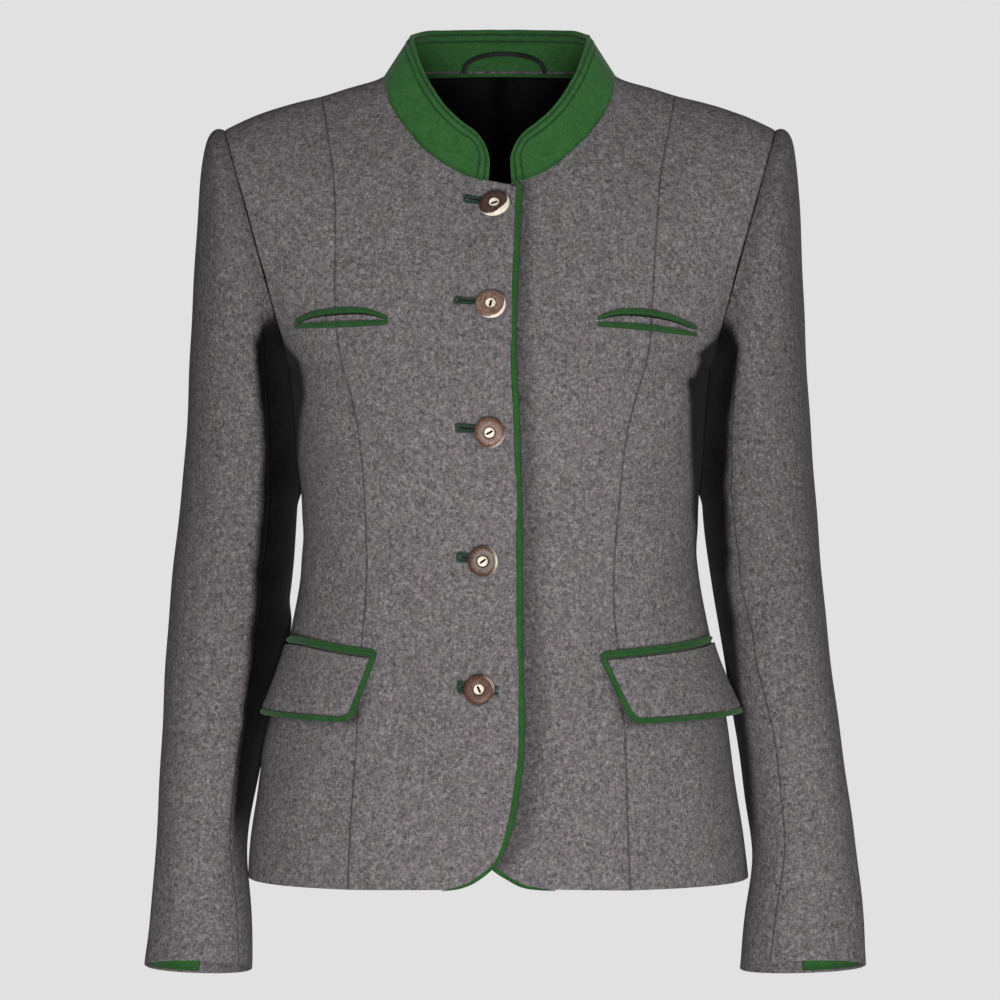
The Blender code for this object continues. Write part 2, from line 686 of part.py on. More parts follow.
def edge_strip(side):
    share = np.clip(EDGE_SHARES, 0.002, 0.9985)
    share = np.sort(np.concatenate([share, (share[:6] + share[1:7]) / 2]))
    count = len(share)
    line = front_edge(side)(share)
    dense = np.linspace(0, 1, 400)
    _, square = turned(front_edge(side)(dense))
    square = -square if square[200, 0] < 0 else square
    inwards = np.stack([np.interp(share, dense, square[:, k]) for k in (0, 1)], axis=1)
    widths = binding_width(share)
    centre = line + inwards * (widths / 2)[:, None]
    points = on_body(centre[:, 0], centre[:, 1], "front")
    outer = on_body(line[:, 0], line[:, 1], "front")
    normals = body_normal(points, "front")
    across = outer - points
    across -= normals * (across * normals).sum(axis=1, keepdims=True)
    across /= np.linalg.norm(across, axis=1, keepdims=True)
    depth = CLOTH / 2 + (underlap(points[:, 0]) if side == "left" else 0)
    middle = points - normals * np.broadcast_to(depth, (count,))[:, None]
    return middle, across, normals, widths


for side in SIDES:
    middle, across, normals, widths = edge_strip(side)
    strip(
        f"edge_binding_{side}",
        hung(middle, side),
        mirrored(across, side),
        mirrored(normals, side),
        widths,
        BINDING_THICK,
        "felt",
    )


# --- collar and hanger loop --------------------------------------------------------------------


def collar_base():
    """The neckline from one collar end to the middle of the back, with its length."""
    front = [(x, z) for x, z in NECKLINE_ROWS if x > COLLAR_END]
    start = (COLLAR_END, -0.0755)
    front = on_body(*np.array([start, *front]).T, "front")
    front[-1, 1] = 0
    turn = np.linspace(math.pi / 2, 0, 7)[1:]
    x = NECK_POINT[0] * np.sin(turn)
    z = lerp(NECK_POINT[1], NECK_BACK, np.cos(turn) ** 1.2)
    back = on_body(x, z, "back")
    return through(np.concatenate([front, back]))


def collar_half(shares, levels):
    base = collar_base()
    points = base(shares)
    ahead = points[:, 1] / np.where(points[:, 1] < 0, 0.0785, 0.0515)
    lean = np.radians(np.interp(ahead, (-1, -0.6, 0, 0.6, 1), (30, 35, 33, 26, 22)))
    height = np.interp(ahead, (-1, 0, 1), (0.0384, 0.0384, 0.0360))
    inward = np.stack([-points[:, 0], -0.012 - points[:, 1], 0 * points[:, 0]], axis=1)
    inward /= np.linalg.norm(inward, axis=1, keepdims=True)
    rise = np.cos(lean)[:, None] * np.array([0, 0, 1.0]) + np.sin(lean)[:, None] * inward
    from_end = np.clip(shares * base.length / COLLAR_ROUND, 0, 1)
    height = lerp(COLLAR_END_RISE, height, np.sqrt(1 - (1 - from_end) ** 2))
    return points[None] + rise[None] * (COLLAR_CLEAR + height[None] * levels[:, None])[..., None]


def collar_grid(count, levels):
    half = np.concatenate([[0, 0.008, 0.022, 0.045, 0.075], np.linspace(0.11, 1, count)])
    one = collar_half(half, levels)
    other = one[:, -2::-1] * np.array([-1, 1, 1])
    return np.concatenate([one, other], axis=1)


def grid_normals(points, outward):
    normal = np.cross(np.gradient(points, axis=1), np.gradient(points, axis=0))
    normal /= np.linalg.norm(normal, axis=-1, keepdims=True)
    flip = np.sign((normal * outward(points)).sum(axis=-1, keepdims=True).mean())
    return normal * flip


collar_points = collar_grid(14, np.array([0, 0.5, 1.0]))
collar_normals = grid_normals(collar_points, lambda p: p - np.array([0, -0.012, 0.0]))
wall("collar", collar_points, collar_normals, COLLAR_THICK, "felt")

LOOP_HALF = 0.031
LOOP_RISE = 0.0175
LOOP_RADIUS = 0.0014
LOOP_POINTS = 13
loop_curve = bpy.data.curves.new("hanger_loop", "CURVE")
loop_curve.dimensions = "3D"
loop_curve.bevel_depth = LOOP_RADIUS
loop_curve.bevel_resolution = 1
loop_curve.use_fill_caps = True
loop_line = loop_curve.splines.new("POLY")
loop_line.points.add(LOOP_POINTS - 1)
# The loop is sewn in at the neck seam and stands along the collar's inner side.
back_middle = collar_points[:, collar_points.shape[1] // 2]
collar_lean = (back_middle[-1, 1] - back_middle[0, 1]) / (back_middle[-1, 2] - back_middle[0, 2])
for i in range(LOOP_POINTS):
    turn = math.pi * i / (LOOP_POINTS - 1)
    rise = math.sin(turn) ** 0.75 * LOOP_RISE
    x = 0.003 + LOOP_HALF * math.cos(turn)
    base = on_body(np.array(abs(x)), np.array(0.0155), "back")[1]
    clear = (COLLAR_THICK + 2 * LOOP_RADIUS) * math.hypot(1, collar_lean)
    loop_line.points[i].co = (x, base - clear + collar_lean * (rise + LOOP_RADIUS), 0.0165 + rise, 1)
loop = bpy.data.objects.new("hanger_loop", loop_curve)
jacket.objects.link(loop)
loop_curve.materials.append(material("hanger_loop", *FINISH["lining"]))


# --- sleeves -----------------------------------------------------------------------------------

RING = np.arange(len(SLEEVE_ROWS), dtype=float)
sleeve_of = {name: spline(RING, column(SLEEVE, SLEEVE_ROWS, name)) for name in SLEEVE}


def power(value, exponent):
    return np.sign(value) * np.abs(value) ** exponent


def sleeve_ellipse(side, ring, turn):
    outer = np.stack([sleeve_of["outer_" + side](ring), sleeve_of["outer_z"](ring)], axis=-1)
    inner = np.stack([sleeve_of["inner_" + side](ring), sleeve_of["inner_z"](ring)], axis=-1)
    centre, half = (outer + inner) / 2, (outer - inner) / 2
    cos, sin = power(np.cos(turn), 2 / SLEEVE_SQUARE), power(np.sin(turn), 2 / SLEEVE_SQUARE)
    y = -sleeve_of["half_depth"](ring) * sin
    plane = centre + half * cos[..., None]
    z = plane[..., 1] - y * sleeve_of["tip"](ring)
    return np.stack([plane[..., 0], sleeve_of["middle"](ring) + y, z], axis=-1)


def armhole_ring(turn):
    turn = np.mod(turn, 2 * math.pi)
    front = armhole(np.minimum(turn, 2 * math.pi - turn), "front")
    back = armhole(np.minimum(turn, 2 * math.pi - turn), "back")
    return np.where((turn <= math.pi)[..., None], front, back)


def sleeve(side, ring, turn):
    """A sleeve's point: ring 0 is the armhole seam, turn 0 is outside and a quarter is in front."""
    ring, turn = np.broadcast_arrays(np.asarray(ring, float), np.asarray(turn, float))
    fade = np.clip(1 - ring / 5, 0, 1)[..., None] ** 2
    start = armhole_ring(turn) - sleeve_ellipse(side, 0 * ring, turn)
    return sleeve_ellipse(side, ring, turn) + fade * start


def sleeve_normal(side, ring, turn):
    last = RING[-1]
    ahead, behind = np.minimum(ring + 0.03, last), np.maximum(ring - 0.03, 0)
    along = sleeve(side, ahead, turn) - sleeve(side, behind, turn)
    around = sleeve(side, ring, turn + 0.01) - sleeve(side, ring, turn - 0.01)
    normal = np.cross(along, around)
    normal /= np.linalg.norm(normal, axis=-1, keepdims=True)
    middle = sleeve(side, ring, turn) - (sleeve(side, ring, 0 * turn) + sleeve(side, ring, 0 * turn + math.pi)) / 2
    flip = np.sign((normal * middle).sum(axis=-1).mean())
    return normal * flip


RINGS = np.array([0, 0.7, 1.5, 2.6, 3.9, 5.2, 6.6, 8.0, 9.4, 10.9, 12.3, 13.6, 15.0])
SPLIT = 3  # the sleeve's two seams start where the armhole's third row up from the underarm is
TURNS = np.concatenate([-ARM_ANGLES[SPLIT:], ARM_ANGLES[-2 : SPLIT - 1 : -1]])
UNDER_TURNS = np.concatenate([ARM_ANGLES[SPLIT::-1], 2 * math.pi - ARM_ANGLES[1 : SPLIT + 1]])

for side in SIDES:
    for name, turns in (("upper", TURNS), ("under", UNDER_TURNS)):
        ring, turn = np.meshgrid(RINGS, turns, indexing="ij")
        points, normals = sleeve(side, ring, turn), sleeve_normal(side, ring, turn)
        points, normals = trimmed(points, normals, sides="lrb")
        wall(f"sleeve_{name}_{side}", mirrored(points, side), mirrored(normals, side), CLOTH, "loden")

for side in SIDES:
    behind = TURNS[(TURNS > math.radians(-100)) & (TURNS < math.radians(-10))]
    ring, turn = np.meshgrid(np.array([13.6, 14.98]), behind, indexing="ij")
    points, normals = sleeve(side, ring, turn), sleeve_normal(side, ring, turn)
    points = points - normals * (CLOTH + FACING_CLEAR)
    wall(f"cuff_facing_{side}", mirrored(points, side), mirrored(normals, side), FACING_THICK, "felt")


# --- pockets -----------------------------------------------------------------------------------


def raised(points, normals, low, high, name, finish):
    """A piece that lies on a panel: made from the panel's points, moved out."""
    wall(name, points + normals * high, normals, high - low, finish)


def chest_welt(side, which, cols):
    rows = CHEST_ROWS[side]
    x = np.linspace(rows[0][0], rows[-1][0], cols)
    z = spline(column(CHEST, rows, "x"), column(CHEST, rows, which + "_z"))(x)
    share = np.linspace(0, 1, cols)
    half = CHEST_WELT / 2 * (0.45 + 0.55 * np.sin(math.pi * share) ** 0.5)
    plan_z = z[None] + np.array([-1.0, 1.0])[:, None] * half[None]
    points = on_body(np.broadcast_to(x, plan_z.shape), plan_z, "front")
    return points, body_normal(points, "front")


for side in SIDES:
    for which in ("upper", "lower"):
        points, normals = chest_welt(side, which, 13)
        raised(
            mirrored(points, side),
            mirrored(normals, side),
            WELT_CLEAR,
            WELT_CLEAR + WELT_THICK,
            f"chest_welt_{which}_{side}",
            "felt",
        )


def waist_point(side, share, top, bottom, down, inner_down):
    """A point of a waist pocket: share 0 is its inner end, down 0 its top line and 1 its bottom."""
    (inner, outer) = WAIST_ROWS[side]
    z_top = lerp(inner[top], outer[top], share)
    z_bottom = lerp(inner[bottom], outer[bottom], share)
    z = lerp(z_top, z_bottom, down)
    x_inner = lerp(WAIST_INNER[side][0], WAIST_INNER[side][1], inner_down)
    start = section_angle(x_inner, z, "front")
    return on_section(lerp(start, math.radians(OUTER_END[side]), share), z, "front")


def waist_welt(side, cols):
    share, down = np.meshgrid(np.linspace(0, 1, cols), np.array([0, 1.0]))
    points = waist_point(side, share, 0, 1, down, 0 * down)
    return points, body_normal(points, "front")


def flap_grid(side, shares, downs, drop=0.0009):
    """The flap's back, hanging from just under the welt and standing away towards its bottom."""
    share, down = np.meshgrid(shares, downs)
    inner, outer = WAIST_ROWS[side]
    length = 0.128
    near = np.clip(share * length / FLAP_ROUND, 0, 1)
    cut = FLAP_ROUND / 0.047 * (1 - np.sqrt(1 - (1 - near) ** 2))
    reach = down * (1 - cut)
    z_from = lerp(inner[1], outer[1], share) - drop
    z_to = lerp(inner[2], outer[2], share) + 0.0048
    z = lerp(z_from, z_to, reach)
    x_inner = lerp(WAIST_INNER[side][0] + 0.0045, WAIST_INNER[side][1] + 0.0045, reach)
    start = section_angle(x_inner, z, "front")
    points = on_section(lerp(start, math.radians(OUTER_END[side]), share), z, "front")
    normals = body_normal(points, "front")
    flare = lerp(inner[3], outer[3], share**1.5) * reach**1.4
    return points + normals * (WELT_CLEAR + 0.0002 + flare)[..., None], normals


FLAP_SHARES = np.array([0, 0.012, 0.035, 0.075, 0.16, 0.28, 0.42, 0.56, 0.70, 0.82, 0.92, 1.0])
FLAP_DOWNS = np.array([0, 0.33, 0.66, 1.0])

for side in SIDES:
    points, normals = waist_welt(side, 10)
    raised(
        hung(points, side),
        mirrored(normals, side),
        WELT_CLEAR,
        WELT_CLEAR + 0.0026,
        f"waist_welt_{side}",
        "felt",
    )
    back, normals = flap_grid(side, FLAP_SHARES, FLAP_DOWNS)
    wall(
        f"waist_flap_{side}",
        hung(back + normals * FLAP_THICK, side),
        mirrored(normals, side),
        FLAP_THICK,
        "loden",
    )
    # The binding follows the flap's inner end, its round corner and its bottom.
    rim = np.concatenate([back[:-1, 0], back[-1]])
    out = np.concatenate([normals[:-1, 0], normals[-1]])
    along = np.gradient(rim, axis=0)
    along /= np.linalg.norm(along, axis=1, keepdims=True)
    out = out - along * (out * along).sum(axis=1, keepdims=True)
    out /= np.linalg.norm(out, axis=1, keepdims=True)
    across = np.cross(along, out)
    if across[-3, 2] > 0:
        across = -across
    width = 0.0042
    middle = rim + across * (width / 2 + GAP + 0.0001) + out * FLAP_THICK / 2
    strip(
        f"flap_binding_{side}",
        hung(middle, side),
        mirrored(across, side),
        mirrored(out, side),
        np.full(len(middle), width),
        FLAP_THICK + 0.0004,
        "felt",
    )


# --- buttons -----------------------------------------------------------------------------------

# Half of a button's section from the middle of its face down to the middle of its back.
BUTTON_PROFILE = (
    (0.0, 0.56),
    (0.20, 0.58),
    (0.29, 0.80),
    (0.36, 0.98),
    (0.62, 1.00),
    (0.86, 0.90),
    (0.97, 0.66),
    (1.00, 0.42),
    (0.94, 0.12),
    (0.84, 0.0),
    (0.0, 0.0),
)

for number, (x, z, turn, lean) in enumerate(BUTTON_ROWS, 1):
    mesh = bpy.data.meshes.new(f"button_{number}")
    points = [(r * BUTTON_RADIUS, 0, h * BUTTON_THICK) for r, h in BUTTON_PROFILE]
    mesh.from_pydata(points, [(i, i + 1) for i in range(len(points) - 1)], [])
    button = bpy.data.objects.new(f"button_{number}", mesh)
    jacket.objects.link(button)
    mesh.materials.append(material(f"button_{number}", *FINISH["horn"]))
    screw = button.modifiers.new("Screw", "SCREW")
    screw.steps = screw.render_steps = 18
    screw.use_merge_vertices = True
    screw.merge_threshold = 0.00005
    screw.use_smooth_shade = True
    spot = on_body(np.array([x]), np.array([z]), "front")
    normal = body_normal(spot, "front")[0]
    tip = math.radians(lean)
    lift = BUTTON_CLEAR + math.sin(tip) * BUTTON_RADIUS
    # The face leans towards the direction "turn", seen from the front, 90 being up.
    aim = np.array([math.cos(math.radians(turn)), 0, math.sin(math.radians(turn))])
    aim -= normal * (aim * normal).sum()
    aim /= np.linalg.norm(aim)
    axis = normal * math.cos(tip) + aim * math.sin(tip)
    first = np.cross([0, 0, 1.0], axis)
    first /= np.linalg.norm(first)
    second = np.cross(axis, first)
    centre = spot[0] + normal * lift
    for row in range(3):
        for col, vector in enumerate((first, second, axis, centre)):
            button.matrix_world[row][col] = float(vector[row])
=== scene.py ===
"""Looks for the trachten jacket: the cloth panels as thin shells on the frame's forms, with their
seams, soft folds, stitching and nap, the bindings, welts, buttonholes and horn buttons.

Frame as in the model: metres, +X the wearer's left, the front faces -Y, +Z up. The sections,
seam lines and tables repeat the model's own sizes.
"""

import math

import bmesh
import bpy
import numpy as np
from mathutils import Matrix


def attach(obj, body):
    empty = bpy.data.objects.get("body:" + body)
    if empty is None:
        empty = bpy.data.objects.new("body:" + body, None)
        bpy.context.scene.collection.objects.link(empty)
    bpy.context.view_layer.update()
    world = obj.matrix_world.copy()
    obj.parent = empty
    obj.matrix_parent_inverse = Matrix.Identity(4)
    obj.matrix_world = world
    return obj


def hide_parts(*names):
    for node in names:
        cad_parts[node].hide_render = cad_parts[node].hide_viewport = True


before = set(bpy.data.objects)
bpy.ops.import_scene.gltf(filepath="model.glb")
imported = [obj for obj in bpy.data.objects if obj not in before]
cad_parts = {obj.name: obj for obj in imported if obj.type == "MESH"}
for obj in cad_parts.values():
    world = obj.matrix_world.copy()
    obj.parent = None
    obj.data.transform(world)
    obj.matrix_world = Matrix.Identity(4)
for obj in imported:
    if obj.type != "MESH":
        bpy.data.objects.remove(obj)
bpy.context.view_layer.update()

CLOTH = 0.0022  # loden wall
GAP = 0.0003  # between neighbours at a seam
BINDING_WIDTH = 0.0050
BINDING_THICK = 0.0030
COLLAR_THICK = 0.0030
COLLAR_END = 0.0085  # from the middle of the front to each collar end
COLLAR_ROUND = 0.024  # length over which the front corner of the collar is rounded
COLLAR_END_RISE = 0.014
COLLAR_CLEAR = 0.0014  # above the neckline
BUTTON_RADIUS = 0.0113
BUTTON_THICK = 0.0036
BUTTON_CLEAR = 0.0009
UNDERLAP = 0.0037  # how far the under front lies behind the upper one
WELT_CLEAR = 0.0008
WELT_THICK = 0.0016
FLAP_THICK = 0.0028
LINING_THICK = 0.0010
LINING_CLEAR = 0.0022
FACING_THICK = 0.0012
FACING_CLEAR = 0.0008

HEM = -0.5970
TIP = (0.2090, -0.0307)  # x, z of the shoulder tip
UNDERARM = (0.1585, -0.2120)
NECK_POINT = (0.0875, 0.0104)  # x, z where the shoulder seam meets the collar
NECK_BACK = 0.0160  # height of the back neckline at the middle
ARMHOLE_FRONT = 0.070
ARMHOLE_BACK = 0.074
ARMHOLE_BOW = 0.0015

# Horizontal sections of the body: half width at the side seam (armhole heights follow from the
# armhole instead), depth of the front and of the back, and how square each is.
BODY = ("z", "half_width", "front", "back", "front_square", "back_square")
BODY_ROWS = (
    (0.060, 0.1585, 0.0430, 0.0500, 2.30, 2.30),
    (0.010, 0.1585, 0.0475, 0.0560, 2.30, 2.30),
    (-0.020, 0.1585, 0.0545, 0.0640, 2.30, 2.35),
    (-0.050, 0.1585, 0.0670, 0.0755, 2.32, 2.40),
    (-0.080, 0.1585, 0.0800, 0.0860, 2.35, 2.45),
    (-0.110, 0.1585, 0.0925, 0.0930, 2.40, 2.50),
    (-0.140, 0.1585, 0.1035, 0.0970, 2.45, 2.50),
    (-0.170, 0.1585, 0.1130, 0.0980, 2.50, 2.50),
    (-0.212, 0.1585, 0.1230, 0.0950, 2.55, 2.45),
    (-0.250, 0.1560, 0.1262, 0.0895, 2.55, 2.40),
    (-0.290, 0.1528, 0.1200, 0.0830, 2.45, 2.35),
    (-0.330, 0.1496, 0.1110, 0.0790, 2.35, 2.30),
    (-0.370, 0.1512, 0.1050, 0.0790, 2.30, 2.30),
    (-0.410, 0.1585, 0.1055, 0.0850, 2.30, 2.35),
    (-0.450, 0.1668, 0.1100, 0.0945, 2.30, 2.40),
    (-0.500, 0.1752, 0.1165, 0.1045, 2.32, 2.40),
    (-0.550, 0.1822, 0.1225, 0.1105, 2.35, 2.40),
    (-0.600, 0.1888, 0.1270, 0.1140, 2.35, 2.40),
)

# How much further out the right side hangs than the left one.
HANG = ("z", "right_more")
HANG_ROWS = ((-0.400, 0.0), (-0.450, 0.0006), (-0.500, 0.0026), (-0.530, 0.0040), (-0.560, 0.0046), (-0.600, 0.0022))

# The top of the shoulder, from the middle outwards, and how it rolls over to front and back.
SHOULDER = ("x", "z", "reach", "round")
SHOULDER_ROWS = (
    (0.000, 0.0880, 0.115, 2.40),
    (0.030, 0.0740, 0.115, 2.40),
    (0.050, 0.0530, 0.115, 2.40),
    (0.065, 0.0325, 0.115, 2.40),
    (0.076, 0.0200, 0.115, 2.38),
    (0.0875, 0.0104, 0.113, 2.34),
    (0.100, 0.0056, 0.110, 2.28),
    (0.115, 0.0017, 0.106, 2.20),
    (0.130, -0.0030, 0.102, 2.12),
    (0.160, -0.0109, 0.095, 2.04),
    (0.185, -0.0194, 0.088, 2.00),
    (0.209, -0.0307, 0.085, 2.00),
    (0.240, -0.0460, 0.085, 2.00),
)

# The princess seam of each front.
PRINCESS = ("z", "right", "left")
PRINCESS_ROWS = (
    (-0.0060, 0.1348, 0.1322),
    (-0.0300, 0.1304, 0.1275),
    (-0.0600, 0.1255, 0.1212),
    (-0.1000, 0.1222, 0.1168),
    (-0.1450, 0.1222, 0.1136),
    (-0.1850, 0.1208, 0.1114),
    (-0.2100, 0.1172, 0.1080),
    (-0.2300, 0.1113, 0.1020),
    (-0.2550, 0.1057, 0.0950),
    (-0.2900, 0.1013, 0.0900),
    (-0.3350, 0.0992, 0.0860),
    (-0.3850, 0.0999, 0.0842),
    (-0.4300, 0.1032, 0.0878),
    (-0.4850, 0.1054, 0.0920),
    (-0.5400, 0.1078, 0.0936),
    (-0.6000, 0.1113, 0.0957),
)

# The outer edge of each front's binding: x measured from the middle towards the other side,
# from the hem round the corner and up to the neck.
EDGE = ("right", "right_z", "left", "left_z")
EDGE_ROWS = (
    (-0.0440, -0.5966, -0.0425, -0.5964),
    (-0.0335, -0.5957, -0.0265, -0.5957),
    (-0.0225, -0.5926, -0.0150, -0.5935),
    (-0.0110, -0.5855, -0.0050, -0.5883),
    (-0.0034, -0.5786, 0.0068, -0.5803),
    (0.0036, -0.5670, 0.0150, -0.5670),
    (0.0103, -0.5485, 0.0206, -0.5485),
    (0.0142, -0.5275, 0.0244, -0.5275),
    (0.0170, -0.5060, 0.0272, -0.5060),
    (0.0183, -0.4800, 0.0286, -0.4800),
    (0.0175, -0.4450, 0.0280, -0.4450),
    (0.0169, -0.3950, 0.0270, -0.3950),
    (0.0167, -0.3400, 0.0262, -0.3400),
    (0.0155, -0.2850, 0.0258, -0.2850),
    (0.0140, -0.2400, 0.0256, -0.2400),
    (0.0123, -0.2000, 0.0254, -0.2000),
    (0.0132, -0.1600, 0.0254, -0.1600),
    (0.0150, -0.1200, 0.0258, -0.1200),
    (0.0168, -0.0800, 0.0262, -0.0775),
)

# The neckline of a front, from the edge's top to the shoulder.
NECKLINE = ("x", "z")
NECKLINE_ROWS = (
    (0.0000, -0.0766),
    (0.0133, -0.0743),
    (0.0252, -0.0700),
    (0.0394, -0.0626),
    (0.0544, -0.0513),
    (0.0674, -0.0376),
    (0.0775, -0.0234),
    (0.0850, -0.0070),
    (0.0875, 0.0104),
)

# A sleeve, a row for each section from the armhole to the cuff: its outer and inner points, the
# middle and half of its depth, and how far its plane tips forwards.
SLEEVE = ("outer_right", "inner_right", "outer_left", "inner_left", "outer_z", "inner_z", "middle", "half_depth", "tip")
SLEEVE_ROWS = (
    (0.2090, 0.1585, 0.2090, 0.1585, -0.0307, -0.2120, 0.0000, 0.0640, 0.000),
    (0.2150, 0.1592, 0.2147, 0.1592, -0.0300, -0.2158, 0.0000, 0.0655, 0.000),
    (0.2213, 0.1594, 0.2208, 0.1594, -0.0362, -0.2202, 0.0005, 0.0680, 0.000),
    (0.2254, 0.1596, 0.2246, 0.1596, -0.0530, -0.2258, 0.0010, 0.0700, 0.000),
    (0.2288, 0.1591, 0.2274, 0.1591, -0.0850, -0.2335, 0.0020, 0.0715, 0.000),
    (0.2326, 0.1581, 0.2302, 0.1581, -0.1440, -0.2490, 0.0030, 0.0720, 0.000),
    (0.2360, 0.1564, 0.2330, 0.1564, -0.2060, -0.2710, 0.0045, 0.0710, 0.000),
    (0.2398, 0.1543, 0.2380, 0.1543, -0.2780, -0.3040, 0.0070, 0.0680, 0.000),
    (0.2480, 0.1570, 0.2442, 0.1580, -0.3530, -0.3530, 0.0100, 0.0645, 0.000),
    (0.2529, 0.1624, 0.2491, 0.1662, -0.4030, -0.4030, 0.0125, 0.0615, 0.000),
    (0.2559, 0.1700, 0.2543, 0.1735, -0.4500, -0.4500, 0.0125, 0.0580, 0.020),
    (0.2576, 0.1790, 0.2600, 0.1810, -0.4963, -0.4963, 0.0085, 0.0545, 0.060),
    (0.2593, 0.1876, 0.2653, 0.1868, -0.5400, -0.5400, 0.0010, 0.0515, 0.110),
    (0.2604, 0.1920, 0.2698, 0.1912, -0.5800, -0.5800, -0.0090, 0.0490, 0.160),
    (0.2629, 0.1878, 0.2730, 0.1858, -0.6195, -0.6205, -0.0190, 0.0470, 0.200),
    (0.2674, 0.1866, 0.2754, 0.1804, -0.6620, -0.6640, -0.0300, 0.0455, 0.225),
)
SLEEVE_SQUARE = 2.1

# Chest pockets: middle line of each welt, from the inner end to the outer one.
CHEST = ("x", "upper_z", "lower_z")
CHEST_ROWS = {
    "right": (
        (0.0818, -0.1785, -0.1818),
        (0.0950, -0.1738, -0.1820),
        (0.1090, -0.1722, -0.1823),
        (0.1250, -0.1728, -0.1825),
        (0.1400, -0.1752, -0.1826),
        (0.1515, -0.1800, -0.1828),
    ),
    "left": (
        (0.0713, -0.1790, -0.1832),
        (0.0830, -0.1748, -0.1836),
        (0.0963, -0.1735, -0.1842),
        (0.1139, -0.1748, -0.1856),
        (0.1290, -0.1782, -0.1872),
        (0.1455, -0.1845, -0.1892),
    ),
}
CHEST_WELT = 0.0048  # height of one welt in its middle

# Waist pockets: the lines from the inner end to the outer one, where the outer end is so far
# round the side that it reaches OUTER_END degrees of the section.
WAIST = ("welt_top", "welt_bottom", "flap_bottom", "flare")
WAIST_ROWS = {
    "right": ((-0.4214, -0.4275, -0.4745, 0.0018), (-0.4142, -0.4205, -0.4712, 0.0068)),
    "left": ((-0.4228, -0.4290, -0.4755, 0.0020), (-0.4125, -0.4185, -0.4712, 0.0100)),
}
WAIST_INNER = {"right": (0.0905, 0.1052), "left": (0.0735, 0.0930)}  # x at the top and bottom
OUTER_END = {"right": 81.0, "left": 80.0}
FLAP_ROUND = 0.011

BUTTONS = ("x", "z", "turn", "lean")  # lean and turn: how a loosely sewn button tips
BUTTON_ROWS = (
    (-0.0039, -0.0948, 140.0, 13.0),
    (-0.0068, -0.1690, 120.0, 4.0),
    (-0.0076, -0.2622, 160.0, 3.0),
    (-0.0125, -0.3560, 200.0, 3.0),
    (-0.0152, -0.4508, 150.0, 4.0),
)

SIDES = {"right": -1.0, "left": 1.0}

AMBIENT = 0.10
# Name, place, aim, size in metres and watts.
LIGHTS = (
    ("front_key", (0.0, -2.7, -1.05), (0, 0, -0.36), (1.3, 0.9), 65.0),
    ("camera_fill", (0.0, -3.7, -0.20), (0, 0, -0.36), (1.6, 1.0), 24.0),
    ("side_right", (-2.4, -1.9, -0.1), (0, 0, -0.30), (0.9, 1.8), 3.0),
    ("side_left", (2.4, -1.9, -0.1), (0, 0, -0.30), (0.9, 1.8), 13.0),
    ("top_fill", (0.0, -1.3, 2.3), (0, 0, -0.10), (2.0, 1.0), 5.0),
    ("back_fill", (0.6, 3.4, 1.0), (0, 0, -0.25), (2.4, 1.8), 66.0),
)


# --- curves through tables ---------------------------------------------------------------------


def column(names, rows, name):
    return np.array([row[names.index(name)] for row in rows], float)


def spline(xs, ys):
    """A smooth curve y(x) through the points, level with its ends outside them."""
    xs, ys = np.asarray(xs, float), np.asarray(ys, float)
    if xs[0] > xs[-1]:
        xs, ys = xs[::-1], ys[::-1]
    steps = np.diff(xs)
    count = len(xs)
    matrix, right = np.eye(count), np.zeros(count)
    for i in range(1, count - 1):
        matrix[i, i - 1 : i + 2] = steps[i - 1], 2 * (steps[i - 1] + steps[i]), steps[i]
        right[i] = 6 * ((ys[i + 1] - ys[i]) / steps[i] - (ys[i] - ys[i - 1]) / steps[i - 1])
    bend = np.linalg.solve(matrix, right)

    def at(x):
        x = np.clip(x, xs[0], xs[-1])
        i = np.clip(np.searchsorted(xs, x) - 1, 0, count - 2)
        h, a, b = steps[i], xs[i + 1] - x, x - xs[i]
        return (
            bend[i] * a**3 / (6 * h)
            + bend[i + 1] * b**3 / (6 * h)
            + (ys[i] / h - bend[i] * h / 6) * a
            + (ys[i + 1] / h - bend[i + 1] * h / 6) * b
        )

    return at


def through(points):
    """A smooth curve through points in space or a plane, as a function of 0 to 1 of its length."""
    points = np.asarray(points, float)
    knots = np.concatenate([[0], np.cumsum(np.linalg.norm(np.diff(points, axis=0), axis=1))])
    parts = [spline(knots, points[:, k]) for k in range(points.shape[1])]
    fine = np.linspace(0, knots[-1], 400)
    dense = np.stack([part(fine) for part in parts], axis=1)
    length = np.concatenate([[0], np.cumsum(np.linalg.norm(np.diff(dense, axis=0), axis=1))])

    def at(share):
        where = np.interp(np.asarray(share) * length[-1], length, fine)
        return np.stack([part(where) for part in parts], axis=-1)

    at.length = length[-1]
    return at


def lerp(a, b, t):
    return a + (b - a) * t


def ease(t):
    t = np.clip(t, 0, 1)
    return t * t * (3 - 2 * t)


HEIGHTS = column(BODY, BODY_ROWS, "z")
side_width = spline(HEIGHTS, column(BODY, BODY_ROWS, "half_width"))
DEPTH = {"front": spline(HEIGHTS, column(BODY, BODY_ROWS, "front")), "back": spline(HEIGHTS, column(BODY, BODY_ROWS, "back"))}
SQUARE = {
    "front": spline(HEIGHTS, column(BODY, BODY_ROWS, "front_square")),
    "back": spline(HEIGHTS, column(BODY, BODY_ROWS, "back_square")),
}
SHOULDER_X = column(SHOULDER, SHOULDER_ROWS, "x")
shoulder_reach = spline(SHOULDER_X, column(SHOULDER, SHOULDER_ROWS, "reach"))
shoulder_round = spline(SHOULDER_X, column(SHOULDER, SHOULDER_ROWS, "round"))
shoulder_line = spline(SHOULDER_X, column(SHOULDER, SHOULDER_ROWS, "z"))


def shoulder_top(x):
    return shoulder_line(np.abs(x))


